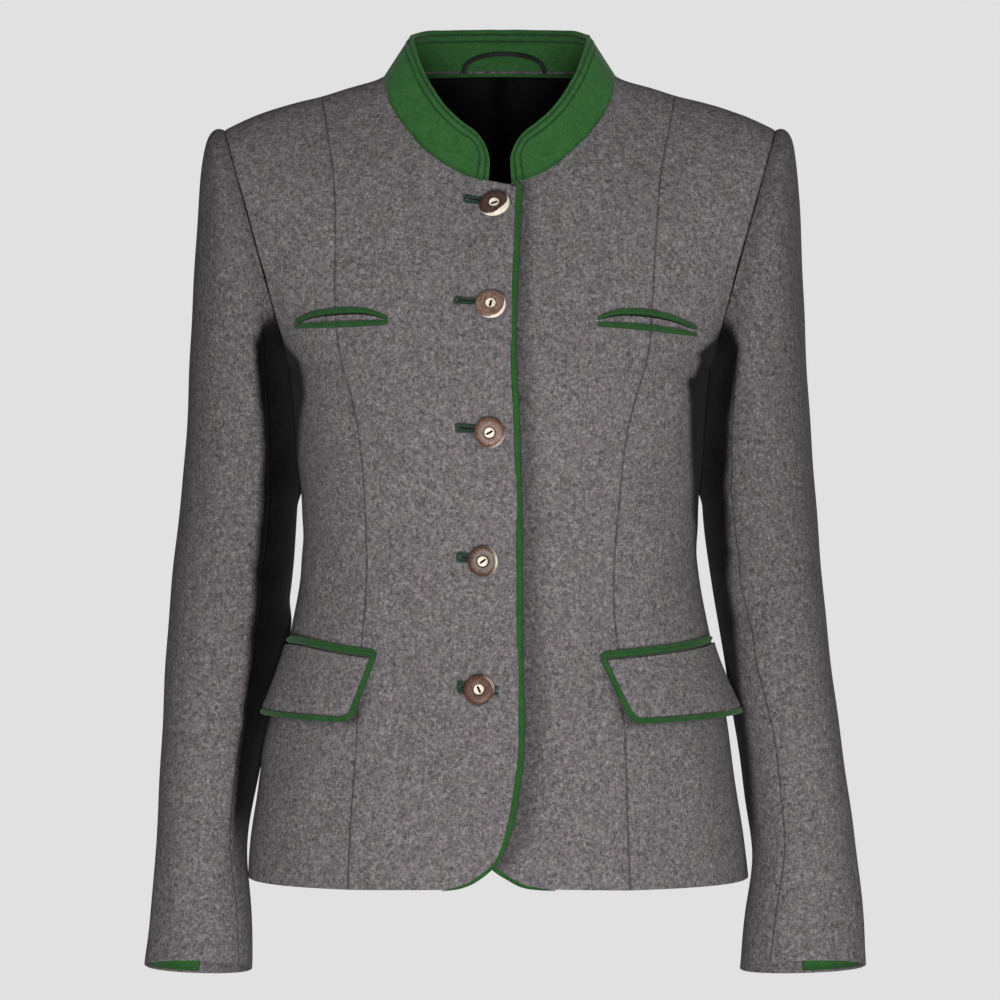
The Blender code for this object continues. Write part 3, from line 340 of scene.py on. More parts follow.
def roll(x, z):
    """1 on the body, falling to 0 where a section reaches the top of the shoulder."""
    part = np.clip((shoulder_top(x) - z) / shoulder_reach(np.abs(x)), 0, 1)
    return (1 - (1 - part) ** 2) ** (1 / shoulder_round(np.abs(x)))


def armhole(angle, face):
    """The armhole seam: 0 at the shoulder tip, pi under the arm; (x, y, z) with x outwards."""
    share = (1 - np.cos(angle)) / 2
    depth = ARMHOLE_FRONT if face == "front" else ARMHOLE_BACK
    x = lerp(TIP[0], UNDERARM[0], share) - ARMHOLE_BOW * np.sin(angle) ** 2
    y = depth * np.sin(angle) * (1 - 0.30 * np.cos(angle / 2) ** 2)
    return np.stack([x, -y if face == "front" else y, lerp(TIP[1], UNDERARM[1], share)], axis=-1)


def reach_of(face):
    """Half width of the full section at armhole heights, so that it passes through the seam."""
    angles = np.linspace(0.12, math.pi, 240)
    x, y, z = np.moveaxis(armhole(angles, face), -1, 0)
    square = SQUARE[face](z)
    part = np.clip(np.abs(y) / (DEPTH[face](z) * roll(x, z)), 0, 0.97)
    width = x / (1 - part**square) ** (1 / square)
    order = np.argsort(z)
    return z[order], width[order]


REACH = {face: reach_of(face) for face in ("front", "back")}


def half_width(z, face):
    zs, widths = REACH[face]
    return np.where(np.asarray(z) <= UNDERARM[1], side_width(z), np.interp(z, zs, widths))


def section_angle(x, z, face):
    share = np.clip(np.abs(x) / half_width(z, face), 0, 1)
    return np.arcsin(share ** (SQUARE[face](z) / 2))


def on_section(angle, z, face):
    """The point of the body's section at height z: 0 is the middle, pi / 2 the side."""
    square = SQUARE[face](z)
    x = half_width(z, face) * np.sin(angle) ** (2 / square)
    y = DEPTH[face](z) * roll(x, z) * np.clip(np.cos(angle), 0, 1) ** (2 / square)
    return np.stack([x, -y if face == "front" else y, z + 0 * x], axis=-1)


def on_body(x, z, face):
    square = SQUARE[face](z)
    share = np.clip(np.abs(x) / half_width(z, face), 0, 1)
    y = DEPTH[face](z) * roll(x, z) * (1 - share**square) ** (1 / square)
    return np.stack([x + 0 * y, -y if face == "front" else y, z + 0 * y], axis=-1)


def body_normal(points, face):
    """Outward normals of the body at its points."""

    def field(p):
        x, y, z = p[..., 0], p[..., 1], p[..., 2]
        square = SQUARE[face](z)
        depth = np.maximum(DEPTH[face](z) * roll(x, z), 1e-4)
        return (np.abs(x) / half_width(z, face)) ** square + (np.abs(y) / depth) ** square

    step = 4e-5
    away = points.copy()
    # A point on the shoulder's top is read from just beside it.
    low = shoulder_top(points[..., 0]) - points[..., 2] < 6e-4
    away[..., 2] = np.where(low, points[..., 2] - 6e-4, points[..., 2])
    if low.any():
        beside = on_body(away[..., 0], away[..., 2], face)
        away = np.where(low[..., None], beside, away)
    normal = np.stack(
        [field(away + step * axis) - field(away - step * axis) for axis in np.eye(3)], axis=-1
    )
    normal /= np.linalg.norm(normal, axis=-1, keepdims=True)
    slope = (shoulder_top(points[..., 0] + 1e-3) - shoulder_top(points[..., 0] - 1e-3)) / 2e-3
    top = np.stack([-slope, 0 * slope, 1 + 0 * slope], axis=-1)
    top /= np.linalg.norm(top, axis=-1, keepdims=True)
    return np.where(low[..., None], top, normal)


right_more = spline(column(HANG, HANG_ROWS, "z"), column(HANG, HANG_ROWS, "right_more"))


def mirrored(points, side):
    return points * np.array([SIDES[side], 1.0, 1.0])


def hung(points, side):
    """A body piece's points, mirrored to their side and hung as that side hangs."""
    points = mirrored(points, side)
    z = points[..., 2]
    out = np.clip(-points[..., 0] / half_width(z, "front"), 0, 1.2)
    return points - np.stack([right_more(z) * (z < HANG_ROWS[0][0]) * out**2, 0 * z, 0 * z], axis=-1)


# --- the model's outlines -------------------------------------------------------------------------

def trimmed(outer, normals, sides="lrtb", gap=GAP / 2):
    """The grid with its outline drawn in by half a seam gap."""
    outer, normals = outer.copy(), normals.copy()
    for key, here, nearby in (
        ("l", np.s_[:, 0], np.s_[:, 1]),
        ("r", np.s_[:, -1], np.s_[:, -2]),
        ("b", np.s_[0], np.s_[1]),
        ("t", np.s_[-1], np.s_[-2]),
    ):
        if key in sides:
            inwards = outer[nearby] - outer[here]
            inwards /= np.linalg.norm(inwards, axis=-1, keepdims=True)
            outer[here] += gap * inwards
    return outer, normals

# Heights along the side and princess seams, from the hem to under the arm.
LOWER = np.array(
    [HEM, -0.591, -0.580, -0.565, -0.545, -0.515, -0.480, -0.440, -0.400, -0.360, -0.320, -0.285, -0.258, -0.234, UNDERARM[1]]
)
SIDE_ROWS = len(LOWER)
# Shares of the front edge's length where the same rows meet it, closer together round the corner.
EDGE_SHARES = np.array(
    [0, 0.030, 0.058, 0.086, 0.120, 0.170, 0.235, 0.310, 0.385, 0.460, 0.535, 0.600, 0.650, 0.700, 0.750, 0.800, 0.860, 0.925, 1.0]
)
# Heights along the princess seam beside the armhole, up to the height of the front neck, and on.
MIDDLE = np.array([-0.188, -0.162, -0.135, -0.105])
PRINCESS_TOP = -0.0060
UPPER = np.linspace(-0.105, PRINCESS_TOP, 7)[1:]
SEAM_HEIGHTS = np.concatenate([LOWER, MIDDLE, UPPER])
ARM_ANGLES = math.pi * (PRINCESS_TOP - SEAM_HEIGHTS[SIDE_ROWS - 1 :]) / (PRINCESS_TOP - UNDERARM[1])

princess_x = {
    side: spline(column(PRINCESS, PRINCESS_ROWS, "z"), column(PRINCESS, PRINCESS_ROWS, side)) for side in SIDES
}


def front_edge(side):
    rows = [(-row[EDGE.index(side)], row[EDGE.index(side + "_z")]) for row in EDGE_ROWS]
    return through(rows)


def neck_curve(side, inset=0.0):
    top = -EDGE_ROWS[-1][EDGE.index(side)] + inset
    return through([(top, EDGE_ROWS[-1][EDGE.index(side + "_z")]), *NECKLINE_ROWS])


def turned(line):
    """Unit vectors along and square to a line in the plane of the front (x, z)."""
    along = np.gradient(line, axis=0)
    along /= np.linalg.norm(along, axis=1, keepdims=True)
    return along, np.stack([-along[:, 1], along[:, 0]], axis=1)


def binding_width(share):
    """Full width up the front, and narrow where it runs out along the hem."""
    return BINDING_WIDTH * lerp(0.40, 1.0, ease(np.asarray(share) / 0.16))


def underlap(x):
    """How far behind the body's surface the under front lies; x towards the wearer's left."""
    return UNDERLAP * ease((0.052 - x) / 0.030)


def collar_base():
    """The neckline from one collar end to the middle of the back, with its length."""
    front = [(x, z) for x, z in NECKLINE_ROWS if x > COLLAR_END]
    start = (COLLAR_END, -0.0755)
    front = on_body(*np.array([start, *front]).T, "front")
    front[-1, 1] = 0
    turn = np.linspace(math.pi / 2, 0, 7)[1:]
    x = NECK_POINT[0] * np.sin(turn)
    z = lerp(NECK_POINT[1], NECK_BACK, np.cos(turn) ** 1.2)
    back = on_body(x, z, "back")
    return through(np.concatenate([front, back]))


def collar_half(shares, levels):
    base = collar_base()
    points = base(shares)
    ahead = points[:, 1] / np.where(points[:, 1] < 0, 0.0785, 0.0515)
    lean = np.radians(np.interp(ahead, (-1, -0.6, 0, 0.6, 1), (30, 35, 33, 26, 22)))
    height = np.interp(ahead, (-1, 0, 1), (0.0384, 0.0384, 0.0360))
    inward = np.stack([-points[:, 0], -0.012 - points[:, 1], 0 * points[:, 0]], axis=1)
    inward /= np.linalg.norm(inward, axis=1, keepdims=True)
    rise = np.cos(lean)[:, None] * np.array([0, 0, 1.0]) + np.sin(lean)[:, None] * inward
    from_end = np.clip(shares * base.length / COLLAR_ROUND, 0, 1)
    height = lerp(COLLAR_END_RISE, height, np.sqrt(1 - (1 - from_end) ** 2))
    return points[None] + rise[None] * (COLLAR_CLEAR + height[None] * levels[:, None])[..., None]


def grid_normals(points, outward):
    normal = np.cross(np.gradient(points, axis=1), np.gradient(points, axis=0))
    normal /= np.linalg.norm(normal, axis=-1, keepdims=True)
    flip = np.sign((normal * outward(points)).sum(axis=-1, keepdims=True).mean())
    return normal * flip


RING = np.arange(len(SLEEVE_ROWS), dtype=float)
sleeve_of = {name: spline(RING, column(SLEEVE, SLEEVE_ROWS, name)) for name in SLEEVE}


def power(value, exponent):
    return np.sign(value) * np.abs(value) ** exponent


def sleeve_ellipse(side, ring, turn):
    outer = np.stack([sleeve_of["outer_" + side](ring), sleeve_of["outer_z"](ring)], axis=-1)
    inner = np.stack([sleeve_of["inner_" + side](ring), sleeve_of["inner_z"](ring)], axis=-1)
    centre, half = (outer + inner) / 2, (outer - inner) / 2
    cos, sin = power(np.cos(turn), 2 / SLEEVE_SQUARE), power(np.sin(turn), 2 / SLEEVE_SQUARE)
    y = -sleeve_of["half_depth"](ring) * sin
    plane = centre + half * cos[..., None]
    z = plane[..., 1] - y * sleeve_of["tip"](ring)
    return np.stack([plane[..., 0], sleeve_of["middle"](ring) + y, z], axis=-1)


def armhole_ring(turn):
    turn = np.mod(turn, 2 * math.pi)
    front = armhole(np.minimum(turn, 2 * math.pi - turn), "front")
    back = armhole(np.minimum(turn, 2 * math.pi - turn), "back")
    return np.where((turn <= math.pi)[..., None], front, back)


def sleeve(side, ring, turn):
    """A sleeve's point: ring 0 is the armhole seam, turn 0 is outside and a quarter is in front."""
    ring, turn = np.broadcast_arrays(np.asarray(ring, float), np.asarray(turn, float))
    fade = np.clip(1 - ring / 5, 0, 1)[..., None] ** 2
    start = armhole_ring(turn) - sleeve_ellipse(side, 0 * ring, turn)
    return sleeve_ellipse(side, ring, turn) + fade * start


def sleeve_normal(side, ring, turn):
    last = RING[-1]
    ahead, behind = np.minimum(ring + 0.03, last), np.maximum(ring - 0.03, 0)
    along = sleeve(side, ahead, turn) - sleeve(side, behind, turn)
    around = sleeve(side, ring, turn + 0.01) - sleeve(side, ring, turn - 0.01)
    normal = np.cross(along, around)
    normal /= np.linalg.norm(normal, axis=-1, keepdims=True)
    middle = sleeve(side, ring, turn) - (sleeve(side, ring, 0 * turn) + sleeve(side, ring, 0 * turn + math.pi)) / 2
    flip = np.sign((normal * middle).sum(axis=-1).mean())
    return normal * flip

SPLIT = 3  # the armhole's row, up from the underarm, where the sleeve's two seams start
TURNS = np.concatenate([-ARM_ANGLES[SPLIT:], ARM_ANGLES[-2 : SPLIT - 1 : -1]])


def chest_welt(side, which, cols):
    rows = CHEST_ROWS[side]
    x = np.linspace(rows[0][0], rows[-1][0], cols)
    z = spline(column(CHEST, rows, "x"), column(CHEST, rows, which + "_z"))(x)
    share = np.linspace(0, 1, cols)
    half = CHEST_WELT / 2 * (0.45 + 0.55 * np.sin(math.pi * share) ** 0.5)
    plan_z = z[None] + np.array([-1.0, 1.0])[:, None] * half[None]
    points = on_body(np.broadcast_to(x, plan_z.shape), plan_z, "front")
    return points, body_normal(points, "front")


def waist_point(side, share, top, bottom, down, inner_down):
    """A point of a waist pocket: share 0 is its inner end, down 0 its top line and 1 its bottom."""
    (inner, outer) = WAIST_ROWS[side]
    z_top = lerp(inner[top], outer[top], share)
    z_bottom = lerp(inner[bottom], outer[bottom], share)
    z = lerp(z_top, z_bottom, down)
    x_inner = lerp(WAIST_INNER[side][0], WAIST_INNER[side][1], inner_down)
    start = section_angle(x_inner, z, "front")
    return on_section(lerp(start, math.radians(OUTER_END[side]), share), z, "front")


# --- soft folds, placed one by one ---------------------------------------------------------------

# On the body: from (x0, z0) to (x1, z1) on a face, half width and height in millimetres; a
# negative height is a trough. x is measured outwards.
FOLD = ("side", "face", "x0", "z0", "x1", "z1", "width", "height")
FOLD_ROWS = (
    ("right", "front", 0.149, -0.216, 0.122, -0.262, 9.0, 1.0),
    ("right", "front", 0.153, -0.236, 0.136, -0.290, 8.0, -0.9),
    ("right", "front", 0.148, -0.318, 0.117, -0.338, 8.0, 0.9),
    ("right", "front", 0.149, -0.336, 0.124, -0.357, 6.5, -1.0),
    ("right", "front", 0.150, -0.352, 0.132, -0.380, 7.0, 0.8),
    ("right", "front", 0.071, -0.300, 0.090, -0.372, 12.0, -0.6),
    ("right", "front", 0.040, -0.455, 0.034, -0.575, 15.0, 0.7),
    ("right", "front", 0.068, -0.470, 0.074, -0.590, 16.0, -0.8),
    ("right", "front", 0.137, -0.480, 0.146, -0.592, 13.0, 1.0),
    ("right", "front", 0.122, -0.485, 0.128, -0.590, 10.0, -0.7),
    ("right", "front", 0.166, -0.468, 0.176, -0.516, 13.0, 2.2),
    ("right", "back", 0.168, -0.468, 0.178, -0.516, 14.0, 1.8),
    ("right", "front", 0.150, -0.090, 0.172, -0.145, 9.0, -0.8),
    ("right", "front", 0.100, -0.030, 0.104, -0.110, 14.0, 0.5),
    ("left", "front", 0.151, -0.219, 0.119, -0.255, 8.0, 1.1),
    ("left", "front", 0.152, -0.244, 0.130, -0.300, 9.0, -1.0),
    ("left", "front", 0.149, -0.310, 0.111, -0.334, 7.5, -0.8),
    ("left", "front", 0.150, -0.329, 0.120, -0.350, 7.0, 1.0),
    ("left", "front", 0.149, -0.350, 0.128, -0.372, 6.5, -0.9),
    ("left", "front", 0.050, -0.290, 0.074, -0.380, 13.0, -0.5),
    ("left", "front", 0.035, -0.480, 0.041, -0.588, 14.0, -0.7),
    ("left", "front", 0.062, -0.475, 0.066, -0.592, 15.0, 0.9),
    ("left", "front", 0.122, -0.490, 0.131, -0.594, 12.0, -1.0),
    ("left", "front", 0.141, -0.480, 0.152, -0.594, 11.0, 0.9),
    ("left", "front", 0.152, -0.100, 0.171, -0.160, 10.0, -0.9),
    ("left", "front", 0.096, -0.035, 0.098, -0.120, 13.0, 0.5),
    ("right", "back", 0.146, -0.222, 0.098, -0.270, 9.0, -1.4),
    ("right", "back", 0.150, -0.262, 0.112, -0.310, 8.0, 1.2),
    ("right", "back", 0.146, -0.330, 0.070, -0.352, 8.5, -1.5),
    ("right", "back", 0.143, -0.350, 0.082, -0.376, 8.0, 1.3),
    ("right", "back", 0.118, -0.372, 0.050, -0.386, 9.0, -0.9),
    ("right", "back", 0.086, -0.060, 0.104, -0.168, 15.0, -1.0),
    ("right", "back", 0.128, -0.078, 0.140, -0.190, 11.0, 1.2),
    ("right", "back", 0.060, -0.440, 0.066, -0.590, 18.0, 1.3),
    ("right", "back", 0.105, -0.450, 0.116, -0.592, 15.0, -1.4),
    ("right", "back", 0.148, -0.460, 0.158, -0.590, 12.0, 1.2),
    ("right", "back", 0.016, -0.020, 0.070, -0.034, 9.0, -0.7),
    ("left", "back", 0.148, -0.228, 0.108, -0.262, 8.0, -1.3),
    ("left", "back", 0.150, -0.250, 0.100, -0.300, 9.5, 1.3),
    ("left", "back", 0.147, -0.322, 0.084, -0.344, 8.0, 1.2),
    ("left", "back", 0.146, -0.344, 0.064, -0.366, 9.0, -1.6),
    ("left", "back", 0.138, -0.368, 0.072, -0.392, 8.0, 1.0),
    ("left", "back", 0.090, -0.070, 0.100, -0.180, 14.0, -1.1),
    ("left", "back", 0.126, -0.090, 0.143, -0.186, 12.0, 1.0),
    ("left", "back", 0.052, -0.450, 0.056, -0.592, 17.0, -1.2),
    ("left", "back", 0.096, -0.440, 0.108, -0.590, 16.0, 1.4),
    ("left", "back", 0.140, -0.470, 0.153, -0.592, 13.0, -1.2),
    ("left", "back", 0.010, -0.026, 0.062, -0.042, 8.0, -0.6),
)

# On a sleeve: from (turn0, z0) to (turn1, z1), where turn is in degrees round the arm, 0 outside
# and 90 in front.
ARM_FOLD = ("side", "turn0", "z0", "turn1", "z1", "width", "height")
ARM_FOLD_ROWS = (
    ("right", 138, -0.232, 74, -0.292, 7.0, 1.3),
    ("right", 150, -0.262, 92, -0.330, 7.5, -1.5),
    ("right", 132, -0.300, 88, -0.352, 8.0, 1.0),
    ("right", 160, -0.352, 92, -0.372, 6.5, -2.0),
    ("right", 150, -0.376, 76, -0.402, 7.5, 1.5),
    ("right", 158, -0.404, 98, -0.416, 6.0, -1.8),
    ("right", 140, -0.425, 84, -0.450, 7.0, 1.3),
    ("right", 152, -0.462, 110, -0.470, 6.0, -1.4),
    ("right", 122, -0.500, 96, -0.590, 9.0, -1.0),
    ("right", 60, -0.130, 48, -0.310, 17.0, 0.8),
    ("right", 48, -0.330, 52, -0.560, 15.0, 1.0),
    ("right", 20, -0.180, 24, -0.420, 18.0, -0.7),
    ("right", 34, -0.560, 62, -0.655, 10.0, -0.9),
    ("right", 12, -0.600, 30, -0.660, 9.0, 0.7),
    ("right", 38, -0.058, 42, -0.110, 9.0, -0.8),
    ("right", -36, -0.062, -48, -0.150, 11.0, -1.3),
    ("right", -62, -0.070, -70, -0.170, 10.0, 1.2),
    ("right", -150, -0.240, -88, -0.300, 8.0, -1.6),
    ("right", -138, -0.270, -70, -0.345, 9.0, 1.5),
    ("right", -30, -0.352, -96, -0.378, 9.0, 1.6),
    ("right", -26, -0.392, -100, -0.402, 8.0, -1.7),
    ("right", -40, -0.428, -104, -0.432, 8.0, 1.3),
    ("right", -52, -0.480, -70, -0.640, 13.0, -1.2),
    ("left", 142, -0.236, 80, -0.286, 7.5, 1.4),
    ("left", 152, -0.258, 98, -0.318, 7.0, -1.5),
    ("left", 128, -0.290, 94, -0.350, 8.0, 0.9),
    ("left", 158, -0.346, 100, -0.360, 6.5, -1.8),
    ("left", 152, -0.368, 82, -0.390, 7.0, 1.6),
    ("left", 156, -0.396, 92, -0.424, 6.5, -2.0),
    ("left", 138, -0.430, 92, -0.446, 7.0, 1.2),
    ("left", 150, -0.470, 112, -0.488, 6.5, -1.3),
    ("left", 56, -0.120, 52, -0.330, 16.0, 0.8),
    ("left", 50, -0.350, 46, -0.580, 16.0, 0.9),
    ("left", 22, -0.200, 18, -0.440, 19.0, -0.8),
    ("left", 26, -0.570, 58, -0.650, 10.0, -1.0),
    ("left", 8, -0.590, 22, -0.655, 9.0, 0.8),
    ("left", 34, -0.060, 40, -0.105, 9.0, -0.9),
    ("left", -40, -0.060, -50, -0.160, 12.0, -1.2),
    ("left", -66, -0.080, -72, -0.180, 10.0, 1.3),
    ("left", -146, -0.250, -92, -0.290, 8.0, 1.4),
    ("left", -140, -0.280, -76, -0.350, 9.0, -1.5),
    ("left", -28, -0.360, -92, -0.372, 8.0, -1.6),
    ("left", -34, -0.386, -104, -0.408, 9.0, 1.6),
    ("left", -44, -0.420, -98, -0.446, 8.0, -1.2),
    ("left", -50, -0.490, -66, -0.630, 13.0, 1.1),
)
ARM_GIRTH = 0.054  # metres of arm for a radian of turn


def fold_height(u, v, rows):
    """Total height at (u, v) of folds given as (u0, v0, u1, v1, half width, height) in metres."""
    total = np.zeros(np.broadcast(u, v).shape)
    for u0, v0, u1, v1, width, height in rows:
        du, dv = u1 - u0, v1 - v0
        share = np.clip(((u - u0) * du + (v - v0) * dv) / (du * du + dv * dv), 0, 1)
        away = np.hypot(u - u0 - share * du, v - v0 - share * dv)
        taper = np.sin(math.pi * np.clip(0.06 + 0.88 * share, 0, 1)) ** 0.7
        total += height * taper * np.exp(-((away / width) ** 2))
    return total


def body_folds(points, side, face):
    rows = [(r[2], r[3], r[4], r[5], r[6] / 1000, r[7] / 1000) for r in FOLD_ROWS if r[:2] == (side, face)]
    x, z = points[..., 0], points[..., 2]
    total = fold_height(x, z, rows)
    k = 1.7 if side == "right" else 0.4
    total += 0.00035 * np.sin(x * 61 + k) * np.sin(z * 47 + 2 * k) + 0.0002 * np.sin(x * 133 + z * 97 + k)
    if side == "right" and face == "front":
        for bx, bz, _, _ in BUTTON_ROWS:
            total -= 0.0005 * np.exp(-(((x + bx) / 0.013) ** 2) - ((z - bz) / 0.011) ** 2)
    # No fold moves the outline where pieces meet the collar and the binding.
    calm = ease((shoulder_top(x) - z) / 0.03)
    return total * calm


def arm_folds(points, turn, side):
    turn = np.degrees(np.mod(turn + math.pi, 2 * math.pi) - math.pi)
    z = points[..., 2]
    total = 0
    scale = math.radians(1) * ARM_GIRTH
    for shift in (-360, 0, 360):
        rows = [
            ((r[1] + shift) * scale, r[2], (r[3] + shift) * scale, r[4], r[5] / 1000, r[6] / 1000)
            for r in ARM_FOLD_ROWS
            if r[0] == side
        ]
        total = total + fold_height(turn * scale, z, rows)
    k = 0.9 if side == "right" else 2.3
    total += 0.0004 * np.sin(np.radians(turn) * 2 + z * 31 + k) * np.sin(z * 52 + k)
    return total


# --- meshes --------------------------------------------------------------------------------------

LODEN, FELT, LINING, HORN_MAT, THREAD, HOLE = "loden", "felt", "lining", "horn", "thread", "buttonhole"
made_materials = {}


def make_object(name, verts, faces, finishes, face_mats=None, shade=None, recalc=True):
    mesh = bpy.data.meshes.new(name)
    verts = np.asarray(verts, dtype=np.float64).reshape(-1, 3)
    mesh.from_pydata(verts.tolist(), [], [list(f) for f in faces])
    for finish in finishes:
        mesh.materials.append(made_materials[finish])
    if face_mats is not None:
        mesh.polygons.foreach_set("material_index", np.asarray(face_mats, dtype=np.int32))
    layer = mesh.color_attributes.new("shade", "FLOAT_COLOR", "POINT")
    values = np.ones((len(verts), 4))
    if shade is not None:
        values[:, :3] = np.asarray(shade).reshape(-1, 1)
    layer.data.foreach_set("color", values.ravel())
    if recalc:
        bm = bmesh.new()
        bm.from_mesh(mesh)
        bmesh.ops.recalc_face_normals(bm, faces=bm.faces)
        bm.to_mesh(mesh)
        bm.free()
    mesh.shade_smooth()
    mesh.update()
    thing = bpy.data.objects.new(name, mesh)
    bpy.context.scene.collection.objects.link(thing)
    return thing


def from_side(points, key):
    """Metres from one side of a grid, along its rows or columns."""
    axis = 1 if key in "lr" else 0
    steps = np.linalg.norm(np.diff(points, axis=axis), axis=-1)
    start = np.zeros_like(steps[:, :1] if axis else steps[:1])
    far = np.cumsum(np.concatenate([start, steps], axis=axis), axis=axis)
    if key in "rt":
        far = (far[:, -1:] if axis else far[-1:]) - far
    return far


def rounding(away, radius):
    near = np.clip(away / radius, 0, 1)
    return radius * (1 - np.sqrt(np.clip(1 - (1 - near) ** 2, 0, 1)))


def shell(name, base, normals, thick, finishes, inner_mats=None, lift_out=0, lift_in=0, shade=None, shade_in=None):
    """A closed thin shell: an outer skin and an inner one, joined by a rim."""
    rows, cols = base.shape[:2]
    lift_out = np.broadcast_to(np.asarray(lift_out, float), (rows, cols))[..., None]
    lift_in = np.broadcast_to(np.asarray(lift_in, float), (rows, cols))[..., None]
    outer = base + normals * lift_out
    inner = base - normals * (thick + lift_in)
    count = rows * cols
    index = np.arange(count).reshape(rows, cols)
    quads = np.stack([index[:-1, :-1], index[:-1, 1:], index[1:, 1:], index[1:, :-1]], axis=-1).reshape(-1, 4)
    ring = np.concatenate([index[0, :-1], index[:-1, -1], index[-1, :0:-1], index[:0:-1, 0]])
    following = np.roll(ring, -1)
    rim = np.stack([ring, ring + count, following + count, following], axis=-1)
    faces = np.concatenate([quads, quads[:, ::-1] + count, rim])
    inner_mats = np.zeros((rows - 1) * (cols - 1), int) if inner_mats is None else inner_mats.reshape(-1)
    mats = np.concatenate([np.zeros(len(quads), int), inner_mats, np.zeros(len(rim), int)])
    tone = np.ones((rows, cols)) if shade is None else shade
    tone_in = np.ones((rows, cols)) if shade_in is None else shade_in
    verts = np.concatenate([outer.reshape(-1, 3), inner.reshape(-1, 3)])
    tones = np.concatenate([tone.reshape(-1), tone_in.reshape(-1)])
    return make_object(name, verts, faces.tolist(), finishes, mats, tones)


def swept(name, middle, across, out, widths, thicks, finish, around=14, square=0.7, shade=None):
    """A soft closed section swept along a line, with rounded ends."""
    count = len(middle)
    angles = np.arange(around) * 2 * math.pi / around
    flat, high = power(np.cos(angles), square), power(np.sin(angles), square)
    length = np.concatenate([[0], np.cumsum(np.linalg.norm(np.diff(middle, axis=0), axis=1))])
    tip = np.minimum(length, length[-1] - length)
    narrow = np.sqrt(np.clip(1 - (1 - np.clip(tip / 0.0012, 0, 1)) ** 2, 0.06, 1))
    widths, thicks = np.broadcast_to(widths, (count,)) * narrow, np.broadcast_to(thicks, (count,)) * narrow
    verts = (
        middle[:, None]
        + across[:, None] * (flat[None] * widths[:, None] / 2)[..., None]
        + out[:, None] * (high[None] * thicks[:, None] / 2)[..., None]
    )
    index = np.arange(count * around).reshape(count, around)
    quads = np.stack([index[:-1], np.roll(index, -1, axis=1)[:-1], np.roll(index, -1, axis=1)[1:], index[1:]], axis=-1)
    faces = quads.reshape(-1, 4).tolist() + [index[0].tolist(), index[-1][::-1].tolist()]
    tones = None if shade is None else np.broadcast_to(shade(flat, high), (count, around))
    return make_object(name, verts, faces, [finish], None, tones)


def threads(name, lines, radius, finish, sides=5, shade=1.0):
    """Many short round threads in one mesh: each line is an array of points."""
    verts, faces = [], []
    total = 0
    angles = np.arange(sides) * 2 * math.pi / sides
    for line in lines:
        line = np.asarray(line)
        along = np.gradient(line, axis=0)
        along /= np.linalg.norm(along, axis=1, keepdims=True)
        spare = np.array([0.3, 0.2, 1.0]) if abs(along[0, 2]) < 0.8 else np.array([1.0, 0.1, 0.2])
        first = np.cross(along, spare)
        first /= np.linalg.norm(first, axis=1, keepdims=True)
        second = np.cross(along, first)
        size = radius * np.sqrt(np.sin(math.pi * np.linspace(0.08, 0.92, len(line))))
        rings = line[:, None] + (
            np.cos(angles)[None, :, None] * first[:, None] + np.sin(angles)[None, :, None] * second[:, None]
        ) * size[:, None, None]
        verts.append(rings.reshape(-1, 3))
        count = len(line)
        for i in range(count - 1):
            for k in range(sides):
                one, two = total + i * sides + k, total + i * sides + (k + 1) % sides
                faces.append((one, two, two + sides, one + sides))
        faces.append(tuple(total + k for k in range(sides)))
        faces.append(tuple(total + (count - 1) * sides + k for k in range(sides - 1, -1, -1)))
        total += count * sides
    verts = np.concatenate(verts)
    return make_object(name, verts, faces, [finish], None, np.full(len(verts), shade))


# --- materials -----------------------------------------------------------------------------------


